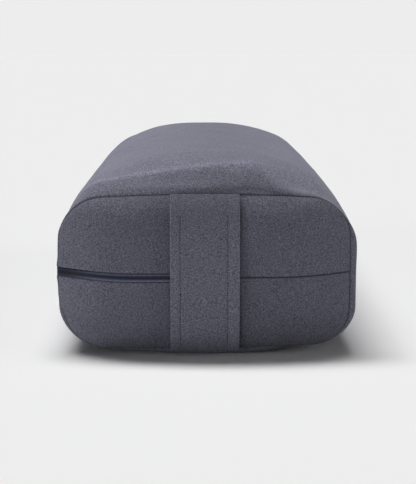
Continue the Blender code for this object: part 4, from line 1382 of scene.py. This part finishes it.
def woven_material(name, dark, light, thread, roughness, has_painted_shade=False):
    """A plain weave of spun yarn, as in cotton and tape, or a mat or foam of like grain: matt, with lighter
    tops and dark pits between them. The spacing is drawn wider than the real one so that it shows."""
    made, tree, shader = new_material(name, Roughness=roughness, Specular_IOR_Level=0.15)
    place = node(tree, "ShaderNodeTexCoord").outputs["Object"]
    weave = node(tree, "ShaderNodeTexVoronoi", {"Vector": place, "Scale": 1 / thread})
    base = node(tree, "ShaderNodeMix",
                {"Factor": weave.outputs["Distance"], 6: linear(light), 7: linear(dark)}, data_type="RGBA")
    colour = base.outputs[2]
    # On the zip tape, each vertex's value paints shade into the colour
    if has_painted_shade:
        painted_shade = node(tree, "ShaderNodeAttribute", attribute_name="painted_shading")
        shade = node(tree, "ShaderNodeHueSaturation", {"Color": colour, "Value": painted_shade.outputs["Fac"]})
        colour = shade.outputs["Color"]
    bump = node(tree, "ShaderNodeBump",
                {"Height": weave.outputs["Distance"], "Distance": thread / 6}, invert=True)
    tree.links.new(colour, shader.inputs["Base Color"])
    tree.links.new(bump.outputs["Normal"], shader.inputs["Normal"])
    return made


def nylon_material():
    """Nylon monofilament, coiled and dyed navy: smooth, with a soft gloss on each loop and painted shade
    between them.
    """
    made, tree, shader = new_material("nylon_coil", Roughness=0.4, Specular_IOR_Level=0.2)
    place = node(tree, "ShaderNodeTexCoord").outputs["Object"]
    dye = node(tree, "ShaderNodeTexNoise", {"Vector": place, "Scale": 1 / NYLON_MOTTLE, "Detail": 2.0})
    base = node(tree, "ShaderNodeMix",
                {"Factor": dye.outputs["Fac"], 6: linear("6A7092"), 7: linear("9A9FC0")}, data_type="RGBA")
    # Each vertex's value paints shade into the colour, darkest between the coils
    painted_shade = node(tree, "ShaderNodeAttribute", attribute_name="painted_shading")
    shade = node(tree, "ShaderNodeHueSaturation",
                 {"Color": base.outputs[2], "Value": painted_shade.outputs["Fac"]})
    tree.links.new(shade.outputs["Color"], shader.inputs["Base Color"])
    return made


def zinc_material():
    """Die-cast zinc with a baked dark coating: a dull metal shine, mottled by handling."""
    made, tree, shader = new_material("coated_zinc", Roughness=0.38, Metallic=0.6)
    place = node(tree, "ShaderNodeTexCoord").outputs["Object"]
    wear = node(tree, "ShaderNodeTexNoise", {"Vector": place, "Scale": 1 / ZINC_MOTTLE, "Detail": 4.0})
    base = node(tree, "ShaderNodeMix",
                {"Factor": wear.outputs["Fac"], 6: linear("2C2D38"), 7: linear("474852")}, data_type="RGBA")
    tree.links.new(base.outputs[2], shader.inputs["Base Color"])
    return made


# Stage

def add_camera():
    """A camera in front of the cushion and a little above it, as in the photograph."""
    data = bpy.data.cameras.new("camera")
    camera = bpy.data.objects.new("camera", data)
    bpy.context.scene.collection.objects.link(camera)
    camera.location = CAMERA_PLACE
    camera.rotation_euler = [math.radians(angle) for angle in CAMERA_TURN]
    data.sensor_width = CAMERA_SENSOR
    data.lens = CAMERA_LENS
    bpy.context.scene.camera = camera


def add_sun(name, to_light, strength, spread):
    """A soft light from a direction, spread over an angle in degrees."""
    data = bpy.data.lights.new(name, "SUN")
    data.energy = strength
    data.angle = math.radians(spread)
    light = bpy.data.objects.new(name, data)
    light.rotation_euler = Vector(to_light).to_track_quat("Z", "Y").to_euler()
    bpy.context.scene.collection.objects.link(light)


def add_lights():
    """A row of soft overhead lights, a fill from each side, and a world that is pale only to the camera
    and in reflections."""
    for index, tilt in enumerate(STRIP_SUNS):
        turn = math.radians(tilt)
        to_light = (-math.sin(turn), math.tan(math.radians(STRIP_BACK)), math.cos(turn))
        add_sun(f"strip_{index}", to_light, STRIP_STRENGTH, STRIP_SPREAD)
    for index, (to_light, strength, spread) in enumerate(FILL_LIGHTS):
        add_sun(f"fill_{index}", to_light, strength, spread)
    world = bpy.data.worlds.new("studio")
    world.use_nodes = True
    bpy.context.scene.world = world
    tree = world.node_tree
    path = node(tree, "ShaderNodeLightPath")
    seen = node(tree, "ShaderNodeMath", {0: path.outputs["Is Camera Ray"], 1: path.outputs["Is Glossy Ray"]},
                operation="MAXIMUM")
    lit = (WORLD_LIGHT, WORLD_LIGHT, WORLD_LIGHT, 1)
    mixer = node(tree, "ShaderNodeMix",
                 {"Factor": seen.outputs["Value"], 6: lit, 7: linear(BACKGROUND)}, data_type="RGBA")
    tree.links.new(mixer.outputs[2], tree.nodes["Background"].inputs["Color"])


def add_floor():
    """A plain pale floor; light bounces off it as off a greyer one, so that the underside stays dark."""
    bpy.ops.object.select_all(action="DESELECT")
    bpy.ops.mesh.primitive_plane_add(size=FLOOR_SIZE, location=(0, 0, 0))
    floor = bpy.context.object
    floor.name = "floor"
    made, tree, shader = new_material("pale_studio_floor", Roughness=1.0, Specular_IOR_Level=0.0)
    path = node(tree, "ShaderNodeLightPath")
    bounced = (FLOOR_BOUNCE, FLOOR_BOUNCE, FLOOR_BOUNCE, 1)
    mixer = node(tree, "ShaderNodeMix",
                 {"Factor": path.outputs["Is Camera Ray"], 6: bounced, 7: linear(FLOOR_COLOUR)},
                 data_type="RGBA")
    tree.links.new(mixer.outputs[2], shader.inputs["Base Color"])
    floor.data.materials.append(made)
    floor.select_set(False)


def dress(names, finish):
    """Give CAD nodes that keep their shape a material."""
    for name in names:
        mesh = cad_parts[name].data
        mesh.materials.clear()
        mesh.materials.append(finish)


def build():
    """The stage, the materials and every piece."""
    bpy.context.scene.view_settings.view_transform = "Standard"
    add_camera()
    add_lights()
    add_floor()
    suede = suede_material()
    thread = thread_material()
    add_wrap(suede)
    for end, side, split in (("front", -1, zipped_split), ("rear", 1, plain_split)):
        for place, half, seed in PANEL_SEEDS:
            add_end_half(end, place, side, half, split, suede, seed + side)
    for end, side, middle in (("front", -1, FRONT_STRAP_X), ("rear", 1, 0.0)):
        for place, half in (("upper", 1), ("lower", -1)):
            add_strap_half(end, side, middle, place, half, suede, thread)
    cotton = woven_material("unbleached_cotton", "C9C2B2", "DDD7C9", thread=0.0012, roughness=0.9)
    batting = woven_material("polyester_batting", "D8D7D2", "F0EFEB", thread=0.004, roughness=1.0)
    foam = woven_material("polyurethane_foam", "9AA1A4", "B7BDBF", thread=0.002, roughness=1.0)
    dress(("liner_wrap_panel", "liner_front_panel", "liner_rear_panel"), cotton)
    dress(("batting_wrap",), batting)
    dress(("foam_core",), foam)
    tape_cloth = woven_material("polyester_zip_tape", "5A6080", "888EAE", thread=0.0008, roughness=0.9,
                                has_painted_shade=True)
    add_zip(tape_cloth, nylon_material(), tape_cloth)
    zinc = zinc_material()
    add_slider(zinc)
    add_pull(zinc)
    add_stops(zinc)


build()
